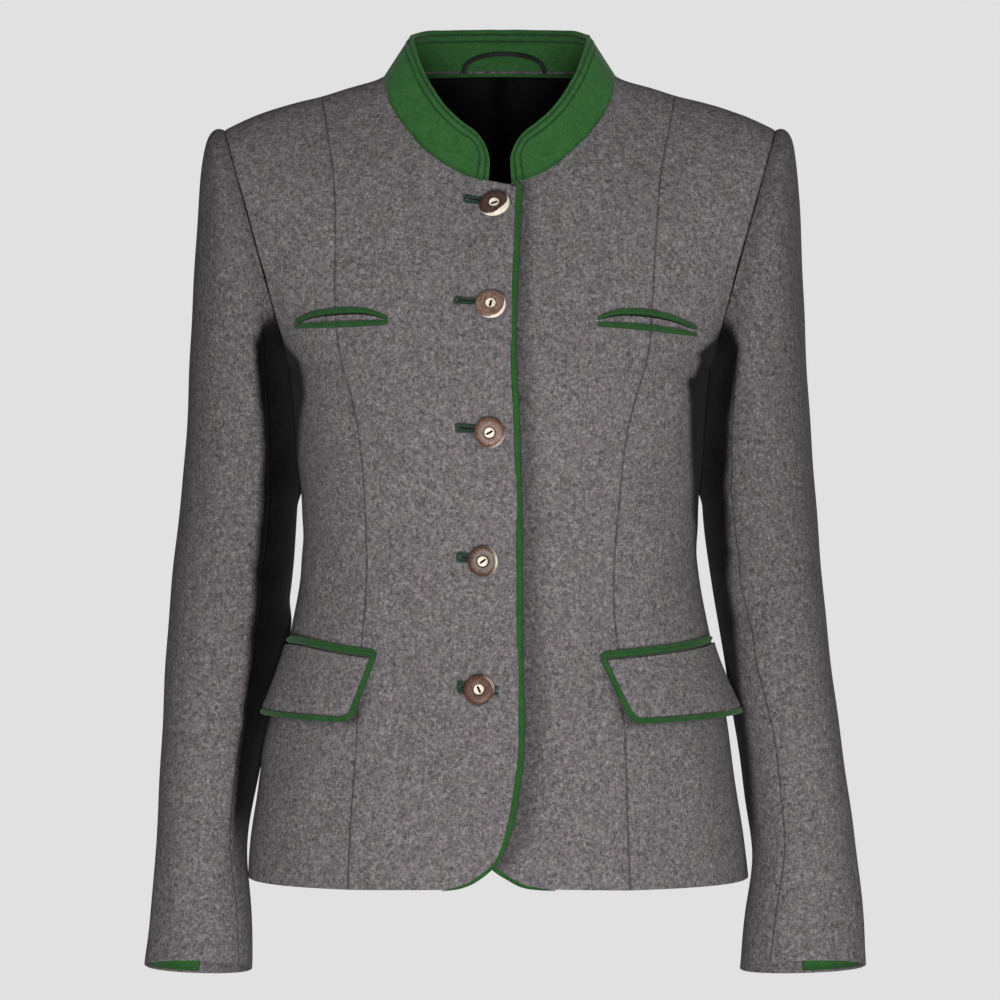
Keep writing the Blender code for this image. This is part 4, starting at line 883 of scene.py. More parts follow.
class Nodes:
    """A material's node tree, built a node at a time."""

    def __init__(self, name):
        self.material = bpy.data.materials.new(name)
        self.material.use_nodes = True
        self.tree = self.material.node_tree
        self.shader = self.tree.nodes["Principled BSDF"]
        coords = self.tree.nodes.new("ShaderNodeTexCoord")
        self.at = coords.outputs["Object"]

    def link(self, a, b):
        self.tree.links.new(a, b)

    def scaled(self, x, y, z, turn=(0, 0, 0)):
        node = self.tree.nodes.new("ShaderNodeMapping")
        node.inputs["Scale"].default_value = (x, y, z)
        node.inputs["Rotation"].default_value = turn
        self.link(self.at, node.inputs["Vector"])
        return node.outputs["Vector"]

    def noise(self, where, scale, detail=2.0, rough=0.5, distortion=0.0):
        node = self.tree.nodes.new("ShaderNodeTexNoise")
        node.inputs["Scale"].default_value = scale
        node.inputs["Detail"].default_value = detail
        node.inputs["Roughness"].default_value = rough
        node.inputs["Distortion"].default_value = distortion
        self.link(where, node.inputs["Vector"])
        return node.outputs["Fac"]

    def ramp(self, value, *stops):
        node = self.tree.nodes.new("ShaderNodeValToRGB")
        node.color_ramp.interpolation = "EASE"
        elements = node.color_ramp.elements
        while len(elements) < len(stops):
            elements.new(0.5)
        for element, (place, colour) in zip(elements, stops):
            element.position = place
            element.color = (*colour, 1.0)
        self.link(value, node.inputs["Fac"])
        return node.outputs["Color"]

    def mix(self, a, b, share, kind="MIX"):
        node = self.tree.nodes.new("ShaderNodeMix")
        node.data_type = "RGBA"
        node.blend_type = kind
        for socket, value in ((node.inputs[0], share), (node.inputs[6], a), (node.inputs[7], b)):
            if isinstance(value, (int, float)):
                socket.default_value = value
            elif isinstance(value, tuple):
                socket.default_value = (*value, 1.0)
            else:
                self.link(value, socket)
        return node.outputs[2]

    def sum(self, a, b, kind="ADD"):
        node = self.tree.nodes.new("ShaderNodeMath")
        node.operation = kind
        for socket, value in zip(node.inputs, (a, b)):
            if isinstance(value, (int, float)):
                socket.default_value = value
            else:
                self.link(value, socket)
        return node.outputs["Value"]

    def shade(self):
        node = self.tree.nodes.new("ShaderNodeAttribute")
        node.attribute_name = "shade"
        return node.outputs["Color"]

    def bump(self, height, strength, distance, before=None):
        node = self.tree.nodes.new("ShaderNodeBump")
        node.inputs["Strength"].default_value = strength
        node.inputs["Distance"].default_value = distance
        self.link(height, node.inputs["Height"])
        if before is not None:
            self.link(before, node.inputs["Normal"])
        return node.outputs["Normal"]

    def finish(self, colour, normal, roughness, sheen=0.0, sheen_rough=0.5, sheen_tint=(1, 1, 1), specular=0.5, coat=0.0):
        inputs = self.shader.inputs
        self.link(colour, inputs["Base Color"])
        if normal is not None:
            self.link(normal, inputs["Normal"])
        if isinstance(roughness, (int, float)):
            inputs["Roughness"].default_value = roughness
        else:
            self.link(roughness, inputs["Roughness"])
        inputs["Metallic"].default_value = 0.0
        inputs["Specular IOR Level"].default_value = specular
        inputs["Sheen Weight"].default_value = sheen
        inputs["Sheen Roughness"].default_value = sheen_rough
        inputs["Sheen Tint"].default_value = (*sheen_tint, 1.0)
        inputs["Coat Weight"].default_value = coat
        inputs["Coat Roughness"].default_value = 0.12
        return self.material


def loden_material():
    """Milled wool: soft mottling of light and dark fibres over a mid grey, with a short nap."""
    n = Nodes("loden")
    patches = n.noise(n.at, 190.0, 3.0, 0.62, 0.4)
    flecks = n.noise(n.at, 430.0, 4.0, 0.68, 0.6)
    fibres = n.noise(n.scaled(900, 900, 380, (0.5, 0.4, 0.8)), 1.0, 3.0, 0.6, 1.2)
    across = n.noise(n.scaled(420, 950, 900, (0.9, 0.2, 0.3)), 1.0, 3.0, 0.6, 1.0)
    ground = n.ramp(flecks, (0.34, LODEN_DARK), (0.50, LODEN_MID), (0.66, LODEN_LIGHT))
    broad = n.ramp(patches, (0.30, (0.80, 0.80, 0.81)), (0.70, (1.20, 1.20, 1.19)))
    ground = n.mix(ground, broad, 1.0, "MULTIPLY")
    light = n.ramp(fibres, (0.57, (0.0, 0.0, 0.0)), (0.74, (1.0, 1.0, 1.0)))
    ground = n.mix(ground, LODEN_FLECK, light)
    dark = n.ramp(across, (0.58, (0.0, 0.0, 0.0)), (0.76, (1.0, 1.0, 1.0)))
    ground = n.mix(ground, LODEN_DEEP, dark)
    hue = n.ramp(n.noise(n.at, 75.0, 2.0), (0.35, (1.015, 0.995, 1.02)), (0.65, (0.995, 1.005, 0.98)))
    ground = n.mix(ground, hue, 1.0, "MULTIPLY")
    colour = n.mix(ground, n.shade(), 1.0, "MULTIPLY")
    fine = n.bump(n.sum(fibres, across), 0.55, 0.0005)
    normal = n.bump(flecks, 0.35, 0.0009, fine)
    return n.finish(colour, normal, 0.95, 0.045, 0.5, (0.86, 0.86, 0.9), 0.05)


def felt_material(name="felt", base=(0.020, 0.094, 0.018), light=(0.036, 0.146, 0.034)):
    """Fine milled green wool."""
    n = Nodes(name)
    fine = n.noise(n.at, 620.0, 4.0, 0.65, 0.6)
    soft = n.noise(n.at, 130.0, 2.0, 0.5)
    ground = n.ramp(fine, (0.32, base), (0.70, light))
    ground = n.mix(ground, n.ramp(soft, (0.3, (0.88, 0.90, 0.88)), (0.7, (1.10, 1.08, 1.10))), 1.0, "MULTIPLY")
    colour = n.mix(ground, n.shade(), 1.0, "MULTIPLY")
    fibres = n.noise(n.scaled(1300, 700, 1300, (0.4, 0.9, 0.3)), 1.0, 2.0, 0.6, 0.8)
    normal = n.bump(fibres, 0.30, 0.0003, n.bump(fine, 0.30, 0.0005))
    return n.finish(colour, normal, 0.88, 0.18, 0.5, (0.75, 0.95, 0.78), 0.2)


def lining_material():
    """Black lining twill with a faint sheen."""
    n = Nodes("lining")
    wave = n.tree.nodes.new("ShaderNodeTexWave")
    wave.inputs["Scale"].default_value = 520.0
    wave.inputs["Distortion"].default_value = 0.3
    wave.bands_direction = "DIAGONAL"
    n.link(n.at, wave.inputs["Vector"])
    soft = n.noise(n.at, 60.0, 2.0)
    ground = n.ramp(soft, (0.3, (0.0012, 0.0013, 0.0013)), (0.7, (0.0026, 0.0027, 0.0028)))
    colour = n.mix(ground, n.shade(), 1.0, "MULTIPLY")
    normal = n.bump(wave.outputs["Fac"], 0.25, 0.0002)
    return n.finish(colour, normal, 0.70, 0.0, 0.4, (1, 1, 1), 0.05)


def thread_material(name, dark, light):
    """Twisted sewing silk or wool thread."""
    n = Nodes(name)
    grain = n.noise(n.at, 900.0, 2.0)
    colour = n.mix(n.ramp(grain, (0.3, dark), (0.7, light)), n.shade(), 1.0, "MULTIPLY")
    return n.finish(colour, n.bump(grain, 0.4, 0.0002), 0.72, 0.12, 0.4, (0.8, 1, 0.85), 0.3)


def horn_material():
    """Polished staghorn: mottled brown bark face, pale cream where the bark is cut away."""
    n = Nodes("horn")
    grain = n.noise(n.at, 420.0, 5.0, 0.7, 1.4)
    streak = n.noise(n.scaled(1500, 1500, 330, (0.3, 0.5, 0.9)), 1.0, 3.0, 0.6, 0.8)
    bark = n.ramp(grain, (0.30, (0.035, 0.014, 0.010)), (0.50, (0.110, 0.060, 0.042)), (0.70, (0.200, 0.130, 0.090)))
    bark = n.mix(bark, n.ramp(streak, (0.3, (0.65, 0.62, 0.6)), (0.7, (1.25, 1.2, 1.1))), 1.0, "MULTIPLY")
    pale = n.ramp(grain, (0.25, (0.66, 0.54, 0.40)), (0.75, (0.95, 0.88, 0.78)))
    node = n.tree.nodes.new("ShaderNodeAttribute")
    node.attribute_name = "pale"
    share = n.ramp(n.sum(node.outputs["Fac"], n.sum(n.sum(streak, 0.5, "SUBTRACT"), 0.25, "MULTIPLY")), (0.40, (0, 0, 0)), (0.60, (1, 1, 1)))
    colour = n.mix(n.mix(bark, pale, share), n.shade(), 1.0, "MULTIPLY")
    normal = n.bump(streak, 0.18, 0.0002)
    return n.finish(colour, normal, 0.46, 0, 0.5, (1, 1, 1), 0.32, 0.06)


LODEN_DEEP = (0.034, 0.031, 0.033)
LODEN_DARK = (0.070, 0.064, 0.066)
LODEN_MID = (0.142, 0.131, 0.134)
LODEN_LIGHT = (0.240, 0.224, 0.229)
LODEN_FLECK = (0.345, 0.325, 0.330)

made_materials[LODEN] = loden_material()
made_materials[FELT] = felt_material()
made_materials[LINING] = lining_material()
made_materials[HORN_MAT] = horn_material()
made_materials[THREAD] = thread_material("thread", (0.014, 0.085, 0.022), (0.040, 0.180, 0.060))
made_materials[HOLE] = thread_material("buttonhole", (0.006, 0.022, 0.012), (0.018, 0.055, 0.030))


# --- what each piece stands for --------------------------------------------------------------------

sheets = []


def piece(obj, finish, *nodes):
    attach(obj, "root")
    if nodes:
        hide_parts(*nodes)
    return obj


def area_of(points):
    a, b, c, d = points[:-1, :-1], points[:-1, 1:], points[1:, 1:], points[1:, :-1]
    return float((np.linalg.norm(np.cross(c - a, d - b), axis=-1) / 2).sum())


def cut_of(obj, points, turned_in=(0.0, 0.0)):
    """Declares a sheet by the flat size of what shows: its longest row and longest column."""
    width = float(np.linalg.norm(np.diff(points, axis=1), axis=-1).sum(axis=1).max())
    length = float(np.linalg.norm(np.diff(points, axis=0), axis=-1).sum(axis=0).max())
    area = min(area_of(points), width * length)
    area = max(area, 0.301 * width * length)
    sheets.append((obj.name, round(width * 1000), round(length * 1000), round(area * 1e4)))


# --- fine rows and columns -------------------------------------------------------------------------

LOW = np.concatenate(
    [HEM + np.array([0, 0.0003, 0.0007, 0.0012, 0.0019, 0.0030, 0.0048]), np.arange(HEM + 0.008, UNDERARM[1] - 0.0015, 0.0036), [UNDERARM[1]]]
)
HIGH = np.concatenate(
    [np.arange(UNDERARM[1] + 0.0034, -0.1052, 0.0034), [-0.105], np.arange(-0.1016, PRINCESS_TOP - 0.004, 0.0033)]
)
HIGH = np.concatenate([HIGH, PRINCESS_TOP - np.array([0.0032, 0.0022, 0.0014, 0.0008, 0.0003, 0])])
ROWS_Z = np.concatenate([LOW, HIGH])
ARM_FINE = math.pi * (PRINCESS_TOP - ROWS_Z[len(LOW) - 1 :]) / (PRINCESS_TOP - UNDERARM[1])
SHARE_ROWS = len(EDGE_SHARES)


def fine_columns(width, count):
    ends = np.array([0, 0.3, 0.65, 1.05, 1.5, 2.1, 3.0, 4.4]) / 1000 / width
    return np.concatenate([ends, np.linspace(ends[-1], 1 - ends[-1], count)[1:-1], 1 - ends[::-1]])


def fine_shoulder_fit(plan, s):
    x, z = plan[..., 0], plan[..., 1]
    top = np.minimum(shoulder_top(x), NECK_POINT[1] + 0.8 * (NECK_POINT[0] - np.abs(x)).clip(0))
    top = np.where(np.abs(x) < NECK_POINT[0], top, shoulder_top(x))
    drop = top - z
    even = lerp(drop[:, :1], drop[:, -1:], s[None])
    back = (PRINCESS_TOP - ROWS_Z) / 0.0165
    share = ease(1.2 - back / 5)[:, None]
    return np.stack([x, lerp(z, top - even, share)], axis=-1)


def fine_front_centre(side, s):
    fine = np.linspace(0, 1, 1200)
    line = front_edge(side)(fine)
    _, inwards = turned(line)
    inwards = -inwards if inwards[600, 0] < 0 else inwards
    inner = line + inwards * (binding_width(fine) - 0.0011)[:, None]
    low = ROWS_Z <= -0.105 + 1e-9
    share = np.interp(ROWS_Z[low], SEAM_HEIGHTS[:SHARE_ROWS], EDGE_SHARES)
    lower = np.stack([np.interp(share, fine, inner[:, k]) for k in (0, 1)], axis=1)
    top = neck_curve(side, BINDING_WIDTH - 0.0011)
    lower[-1] = top(0.0)
    upper = top((ROWS_Z[~low] + 0.105) / (PRINCESS_TOP + 0.105))
    left = np.concatenate([lower, upper])
    right = np.stack([princess_x[side](ROWS_Z), ROWS_Z], axis=1)
    right[-1, 1] = shoulder_top(right[-1, 0])
    plan = left[:, None] * (1 - s[None, :, None]) + right[:, None] * s[None, :, None]
    plan = fine_shoulder_fit(plan, s)
    points = on_body(plan[..., 0], plan[..., 1], "front")
    normals = body_normal(points, "front")
    if side == "left":
        points = points - normals * underlap(points[..., 0])[..., None]
    return points, normals


def fine_arm_rows(left, face, s):
    side_line = np.stack([side_width(LOW), 0 * LOW, LOW], axis=1)
    arm = armhole(ARM_FINE[1:], face)
    arm[-1, 1] = 0
    right = np.concatenate([side_line, arm])
    start = section_angle(left[:, 0], left[:, 1], face)
    end = section_angle(right[:, 0], right[:, 2], face)
    end[: len(LOW)] = math.pi / 2
    angles = lerp(start[:, None], end[:, None], s)
    heights = lerp(left[:, 1][:, None], right[:, 2][:, None], s)
    widths = half_width(heights, face) * np.sin(angles) ** (2 / SQUARE[face](heights))
    straight = lerp(left[:, 0][:, None], right[:, 0][:, None], s)
    near_top = ease(1 - (PRINCESS_TOP - ROWS_Z) / 0.0165)[:, None]
    widths = lerp(widths, straight, near_top)
    plan = fine_shoulder_fit(np.stack([widths, heights], axis=-1), s)
    points = on_body(plan[..., 0], plan[..., 1], face)
    # The last column is the seam itself; what differs from it fades over a few centimetres.
    away = from_side(points, "r")
    points = points + (right - points[:, -1])[:, None] * np.exp(-((away / 0.045) ** 2))[..., None]
    return points, body_normal(points, face)


def fine_front_side(side, s):
    left = np.stack([princess_x[side](ROWS_Z), ROWS_Z], axis=1)
    left[-1, 1] = shoulder_top(left[-1, 0])
    return fine_arm_rows(left, "front", s)


def fine_back_line():
    step = np.interp(ROWS_Z[len(LOW) :], SEAM_HEIGHTS[SIDE_ROWS - 1 :], np.arange(len(SEAM_HEIGHTS) - SIDE_ROWS + 1))
    rise = len(SEAM_HEIGHTS) - SIDE_ROWS - 5
    turn = np.clip((step - rise) / 5, 0, 1) * math.pi / 2
    z = np.where(step <= rise, lerp(UNDERARM[1], NECK_BACK, step / rise), lerp(NECK_POINT[1], NECK_BACK, np.cos(turn).clip(0) ** 1.2))
    x = np.where(step <= rise, 0, NECK_POINT[0] * np.sin(turn))
    line = np.stack([np.concatenate([0 * LOW, x]), np.concatenate([LOW, z])], axis=1)
    line[-1] = NECK_POINT
    return line


def seam_groove(points, keys, depth=0.00062, width=0.00095):
    """How far the cloth dips beside its seams, and how dark the seams are."""
    dip, dark = 0, 0
    for key in keys:
        away = from_side(points, key)
        dip = np.maximum(dip, depth * np.exp(-((away / width) ** 2)))
        dark = np.maximum(dark, np.exp(-((away / (0.75 * width)) ** 2)))
        # The pressed seam stands a little proud beside its dip.
        dip = dip - 0.00018 * np.exp(-(((away - 0.0045) / 0.0026) ** 2))
    return dip, 1 - 0.50 * dark


# Under the arm the front's cloth turns in, out of the light: height and x where that starts.
ARMPIT = ("z", "x")
ARMPIT_ROWS = {
    "right": ((-0.188, 0.1640), (-0.196, 0.1600), (-0.2085, 0.1480), (-0.222, 0.1447), (-0.233, 0.1435), (-0.252, 0.1490), (-0.274, 0.1510), (-0.290, 0.1560)),
    "left": (
        (-0.184, 0.1640), (-0.192, 0.1592), (-0.202, 0.1472), (-0.2092, 0.1480), (-0.218, 0.1442), (-0.223, 0.1372), (-0.232, 0.1383),
        (-0.242, 0.1397), (-0.269, 0.1420), (-0.299, 0.1433), (-0.319, 0.1440), (-0.3415, 0.1465), (-0.366, 0.1500),
    ),
}
ARMPIT_DARK = 0.965


def armpit_shade(points, side):
    rows = ARMPIT_ROWS[side]
    z = points[..., 2]
    edge = np.interp(z, column(ARMPIT, rows, "z")[::-1], column(ARMPIT, rows, "x")[::-1], left=0.3, right=0.3)
    return 1 - ARMPIT_DARK * ease((points[..., 0] - edge) / 0.0062 + 0.45)


def flap_shadow(points, side):
    """The soft shadow that a pocket flap drops on the cloth beside and under it."""
    inner, outer = WAIST_ROWS[side]
    x, z = points[..., 0], points[..., 2]
    x_top, x_low = WAIST_INNER[side][0] + 0.001, WAIST_INNER[side][1] + 0.001
    share = np.clip((x - x_low) / 0.125, 0, 1)
    low = lerp(inner[2], outer[2], share)
    reach = np.clip((inner[1] - z) / (inner[1] - inner[2]), 0, 1.12)
    beside = np.maximum(lerp(x_top, x_low, reach) - x, 0)
    under = np.maximum(low + 0.002 - z, 0)
    shadow = 0.62 * reach * np.exp(-((beside / 0.0042) ** 2)) * np.exp(-((under / 0.0045) ** 2))
    return 1 - shadow * (z < inner[1] + 0.004)


panels = {}


def panel(name, points, normals, side, face, seams, free):
    base = points + normals * body_folds(points, side, face)[..., None]
    dip, shade = seam_groove(points, seams)
    round_off = 0
    for key in free:
        round_off = np.maximum(round_off, rounding(from_side(points, key), 0.0011))
    z = points[:-1, :-1, 2]
    allowance = z < HEM + 0.036
    if name.endswith("centre"):
        # The front facing is of the same cloth.
        allowance |= points[:-1, :-1, 0] < 0.055
    inner_mats = np.where(allowance, 0, 1)
    if face == "front":
        shade = shade * armpit_shade(points, side) * flap_shadow(points, side)
    # Painted shadow: the under front is darker beside the upper front's edge, where that edge drops its shadow.
    if name == "cloth_front_left_centre":
        edge_x = spline([row[1] for row in EDGE_ROWS[3:]], [row[0] for row in EDGE_ROWS[3:]])(points[..., 2])
        beyond = points[..., 0] - edge_x
        reach = np.interp(points[..., 2], (-0.60, -0.45, -0.30, -0.16), (0.021, 0.021, 0.016, 0.009))
        shade = shade * (1 - 0.46 * (1 - ease((beyond - 0.003) / reach)))
    outer = hung(base, side)
    normals = mirrored(normals, side)
    obj = shell(name, outer, normals, CLOTH, [LODEN, LINING], inner_mats, -dip - round_off, -round_off, shade)
    panels[name] = (obj, outer)
    return obj


for side in SIDES:
    points, normals = trimmed(*fine_front_centre(side, fine_columns(0.115, 32)), sides="rt", gap=0)
    panel(f"cloth_front_{side}_centre", points, normals, side, "front", "rt", "b")
    points, normals = trimmed(*fine_front_side(side, fine_columns(0.075, 64)), sides="lrt", gap=0)
    panel(f"cloth_front_{side}_side", points, normals, side, "front", "lrt", "b")
    points, normals = trimmed(*fine_arm_rows(fine_back_line(), "back", fine_columns(0.20, 50)), sides="rt", gap=0)
    panel(f"cloth_back_{side}", points, normals, side, "back", "lrt", "b")


# --- lining ----------------------------------------------------------------------------------------

lining_pieces = {}
for side in SIDES:
    points, normals = fine_arm_rows(fine_back_line(), "back", np.linspace(0, 1, 34))
    points, normals = points[8:].copy(), normals[8:]
    for here, nearby, amount in (
        (np.s_[:, -1], np.s_[:, -2], 0.007),
        (np.s_[-1], np.s_[-2], 0.006),
    ):
        inwards = points[nearby] - points[here]
        size = np.linalg.norm(inwards, axis=-1, keepdims=True)
        points[here] += np.minimum(amount, size * 0.8) * inwards / size
    # A pleat for ease runs down beside the middle.
    pleat = 0.0016 * np.exp(-(((points[..., 0] - 0.004) / 0.003) ** 2)) * ease((0.010 - points[..., 2]) / 0.02)
    points = points - normals * (CLOTH + LINING_CLEAR - pleat[..., None] * 0.6)
    obj = shell(f"cloth_lining_{side}", hung(points, side), mirrored(normals, side), LINING_THICK, [LINING])
    lining_pieces[side] = (obj, points)


# --- bound front edges -----------------------------------------------------------------------------

bindings = {}
BINDING_TONE = 0.66
for side in SIDES:
    fine = np.linspace(0, 1, 1200)
    share = np.linspace(0.002, 0.9985, 420)
    line = front_edge(side)(share)
    _, square = turned(front_edge(side)(fine))
    square = -square if square[600, 0] < 0 else square
    inwards = np.stack([np.interp(share, fine, square[:, k]) for k in (0, 1)], axis=1)
    # The binding runs on into the collar seam.
    more = np.linspace(0, 1, 12)[1:]
    line = np.concatenate([line, line[-1] + np.stack([0.0042 * more**2, 0.0062 * more], axis=1)])
    inwards = np.concatenate([inwards, np.repeat(inwards[-1:], 11, axis=0)])
    share = np.concatenate([share, np.full(11, share[-1])])
    widths = binding_width(share) * lerp(0.30, 1.0, ease(share / 0.035))
    centre = line + inwards * (widths / 2)[:, None]
    points = on_body(centre[:, 0], centre[:, 1], "front")
    outer = on_body(line[:, 0], line[:, 1], "front")
    normals = body_normal(points, "front")
    across = outer - points
    across -= normals * (across * normals).sum(axis=1, keepdims=True)
    across /= np.linalg.norm(across, axis=1, keepdims=True)
    depth = CLOTH / 2 + (underlap(points[:, 0]) if side == "left" else 0)
    middle = points - normals * np.broadcast_to(depth, (len(share),))[:, None]
    k = 0.7 if side == "right" else 2.9
    wobble = 1 + 0.018 * np.sin(share * 300 + k) + 0.012 * np.sin(share * 131 + 2 * k)
    folds = fold_height(
        points[:, 0],
        points[:, 2],
        [(r[2], r[3], r[4], r[5], r[6] / 1000, r[7] / 1000) for r in FOLD_ROWS if r[:2] == (side, "front")],
    )
    middle = middle + normals * folds[:, None]
    # Painted shade and painted highlight: the binding's section is darker at its two long sides and lighter in a band
    # beside its middle.
    bindings[side] = swept(
        f"cloth_edge_binding_{side}",
        hung(middle, side),
        mirrored(across, side),
        mirrored(normals, side),
        widths * wobble * 1.02,
        BINDING_THICK * (0.96 + 0.04 * wobble),
        FELT,
        16,
        0.62,
        lambda flat, high: BINDING_TONE * (1 - 0.40 * (flat < -0.80) - 0.30 * (flat > 0.80)) * (1 + 0.22 * np.exp(-(((flat + 0.45) / 0.3) ** 2))),
    )


# --- collar ----------------------------------------------------------------------------------------

COLLAR_LENGTH = collar_base().length


def side_dip(ahead):
    """The collar's top sinks a little over the shoulders, so that its outline turns softly."""
    return 0.0026 * np.exp(-(((ahead - 0.12) / 0.26) ** 2))


def collar_height(shares):
    base = collar_base()(shares)
    ahead = base[:, 1] / np.where(base[:, 1] < 0, 0.0785, 0.0515)
    height = np.interp(ahead, (-1, 0, 1), (0.0384, 0.0384, 0.0360)) - side_dip(ahead)
    from_end = np.clip(shares * COLLAR_LENGTH / COLLAR_ROUND, 0, 1)
    return lerp(COLLAR_END_RISE, height, np.sqrt(1 - (1 - from_end) ** 2))


def both_halves(one):
    other = one[:, -2::-1] * np.array([-1, 1, 1])
    return np.concatenate([one, other], axis=1)


near_end = np.concatenate([np.linspace(0, 0.0012, 5), np.arange(0.0018, 0.022, 0.0006)])
half_shares = np.concatenate([near_end, np.arange(0.0235, COLLAR_LENGTH - 0.0008, 0.0021)]) / COLLAR_LENGTH
half_shares = np.concatenate([half_shares, [1.0]])
down = np.concatenate([np.linspace(0, 0.0015, 6), np.arange(0.0020, 0.0125, 0.0005), np.linspace(0.0135, 0.0383, 12)]) / 0.0383
collar_levels = (1 - down)[::-1]
collar_levels[0] = 0.0
heights = collar_height(half_shares)
foot_line = collar_half(half_shares, np.array([0.0]))[0]
rise = collar_half(half_shares, np.array([1.0]))[0] - foot_line
rise /= np.linalg.norm(rise, axis=1, keepdims=True)
tall = heights[None] * collar_levels[:, None]
tall[0] = -COLLAR_CLEAR - 0.0009  # the foot reaches into the neck seam
half = foot_line[None] + rise[None] * tall[..., None]
u = half_shares * COLLAR_LENGTH
grid_u, grid_v = np.broadcast_arrays(u[None], heights[None] * collar_levels[:, None])
dense_u = np.linspace(0, COLLAR_LENGTH, 1600)
outline = np.concatenate(
    [
        np.stack([np.zeros(60), np.linspace(0, COLLAR_END_RISE, 60)], axis=1),
        np.stack([dense_u, collar_height(dense_u / COLLAR_LENGTH)], axis=1),
    ]
)
edge_away = np.empty(grid_u.shape)
for i in range(grid_u.shape[0]):
    gap = np.hypot(grid_u[i][:, None] - outline[None, :, 0], grid_v[i][:, None] - outline[None, :, 1])
    edge_away[i] = gap.min(axis=1)
edge_both = np.concatenate([edge_away, edge_away[:, -2::-1]], axis=1)
grid_both = np.concatenate([grid_v, grid_v[:, -2::-1]], axis=1)
collar_points = both_halves(half)
collar_normals = grid_normals(collar_points, lambda p: p - np.array([0, -0.012, 0.0]))
CHANNELS = (0.0036, 0.0092)
channel = sum(0.00060 * np.exp(-(((edge_both - c) / 0.00085) ** 2)) for c in CHANNELS)
dark = sum(0.72 * np.exp(-(((edge_both - c) / 0.00085) ** 2)) for c in CHANNELS)
# Painted shade: the collar's inside is painted darker towards the back.
at_back = ease((collar_points[..., 1] - 0.000) / 0.03)
foot_shade = 1 - 0.5 * np.exp(-(((grid_both - 0.0) / 0.0012) ** 2))
round_off = rounding(edge_both, 0.0014)
puff = 0.00025 * np.exp(-(((edge_both - 0.0064) / 0.0016) ** 2))
around_u = np.concatenate([u, 2 * COLLAR_LENGTH - u[-2::-1]])
ripple = 0.00022 * np.sin(around_u * 210)[None] * np.exp(-((edge_both / 0.02) ** 2)) + 0.0003 * np.sin(around_u * 37 + 1.0)[None]
collar_base_points = collar_points + collar_normals * ripple[..., None]
collar = shell(
    "cloth_collar",
    collar_base_points,
    collar_normals,
    COLLAR_THICK,
    [FELT],
    None,
    puff - channel - round_off,
    puff - channel - round_off,
    (1 - dark) * foot_shade,
    (1 - dark) * (1 - 0.38 * at_back),
)


def collar_track(distance):
    """A line on the collar at a distance from its outline, from the front end's base to the back."""
    along = np.gradient(outline, axis=0)
    along /= np.linalg.norm(along, axis=1, keepdims=True) + 1e-12
    track = outline + np.stack([along[:, 1], -along[:, 0]], axis=1) * distance
    gap = np.array([np.hypot(*(outline - p).T).min() for p in track])
    keep = (gap > distance - 1.5e-4) & (track[:, 1] > 0.0012) & (track[:, 0] < COLLAR_LENGTH)
    return track[keep]


def on_collar(track):
    """Points and normals on half the collar for (u, v) pairs, by the fine grid."""
    share = np.clip(track[:, 0] / COLLAR_LENGTH, 0, 1)
    level = track[:, 1] / collar_height(share)
    column_at = np.interp(share, half_shares, np.arange(len(half_shares)))
    row_at = np.interp(level, collar_levels, np.arange(len(collar_levels)))
    out = []
    for grid in (collar_base_points[:, : len(half_shares)], collar_normals[:, : len(half_shares)]):
        i = np.clip(row_at.astype(int), 0, grid.shape[0] - 2)
        j = np.clip(column_at.astype(int), 0, grid.shape[1] - 2)
        a, b = (row_at - i)[:, None], (column_at - j)[:, None]
        out.append(
            grid[i, j] * (1 - a) * (1 - b) + grid[i + 1, j] * a * (1 - b) + grid[i, j + 1] * (1 - a) * b + grid[i + 1, j + 1] * a * b
        )
    return out


def stitch_lines(points, normals, pitch, length, lift):
    """Running stitches along a line of points, each a short thread that dips at its ends."""
    far = np.concatenate([[0], np.cumsum(np.linalg.norm(np.diff(points, axis=0), axis=1))])
    lines = []
    for start in np.arange(pitch * 0.4, far[-1] - length, pitch):
        where = start + np.linspace(0, length, 5)
        p = np.stack([np.interp(where, far, points[:, k]) for k in range(3)], axis=1)
        n = np.stack([np.interp(where, far, normals[:, k]) for k in range(3)], axis=1)
        rise = lift * np.sin(math.pi * np.linspace(0, 1, 5)) - 0.00022
        lines.append(p + n * rise[:, None])
    return lines


stitches = []
for c in CHANNELS:
    points, normals = on_collar(collar_track(c))
    for k in (1, -1):
        flip = np.array([k, 1, 1])
        stitches += stitch_lines(points * flip, normals * flip, 0.0031, 0.0024, 0.00030)
        inside = points - normals * COLLAR_THICK
        stitches += stitch_lines(inside * flip, -normals * flip, 0.0031, 0.0024, 0.00030)
collar_stitches = threads("collar_stitches", stitches, 0.00020, THREAD, 5, 0.62)

# The grey seam line at the foot of the collar inside, and the hanger loop that is sewn in there.
foot = collar_half(np.linspace(0.62, 1.0, 40), np.array([0.0]))[0]
foot = np.concatenate([foot, foot[-2::-1] * np.array([-1, 1, 1])])
inwards = np.stack([-foot[:, 0], -0.012 - foot[:, 1], 0 * foot[:, 0]], axis=1)
inwards /= np.linalg.norm(inwards, axis=1, keepdims=True)
seam_middle = foot + inwards * (COLLAR_THICK + 0.0012) + np.array([0, 0, 0.0012])
up = np.tile(np.array([0.0, 0.0, 1.0]), (len(foot), 1))
neck_seam = swept("cloth_neck_seam", seam_middle, up, inwards, 0.0020, 0.0012, LODEN, 10, 0.9, lambda flat, high: 0.55 + 0 * flat)

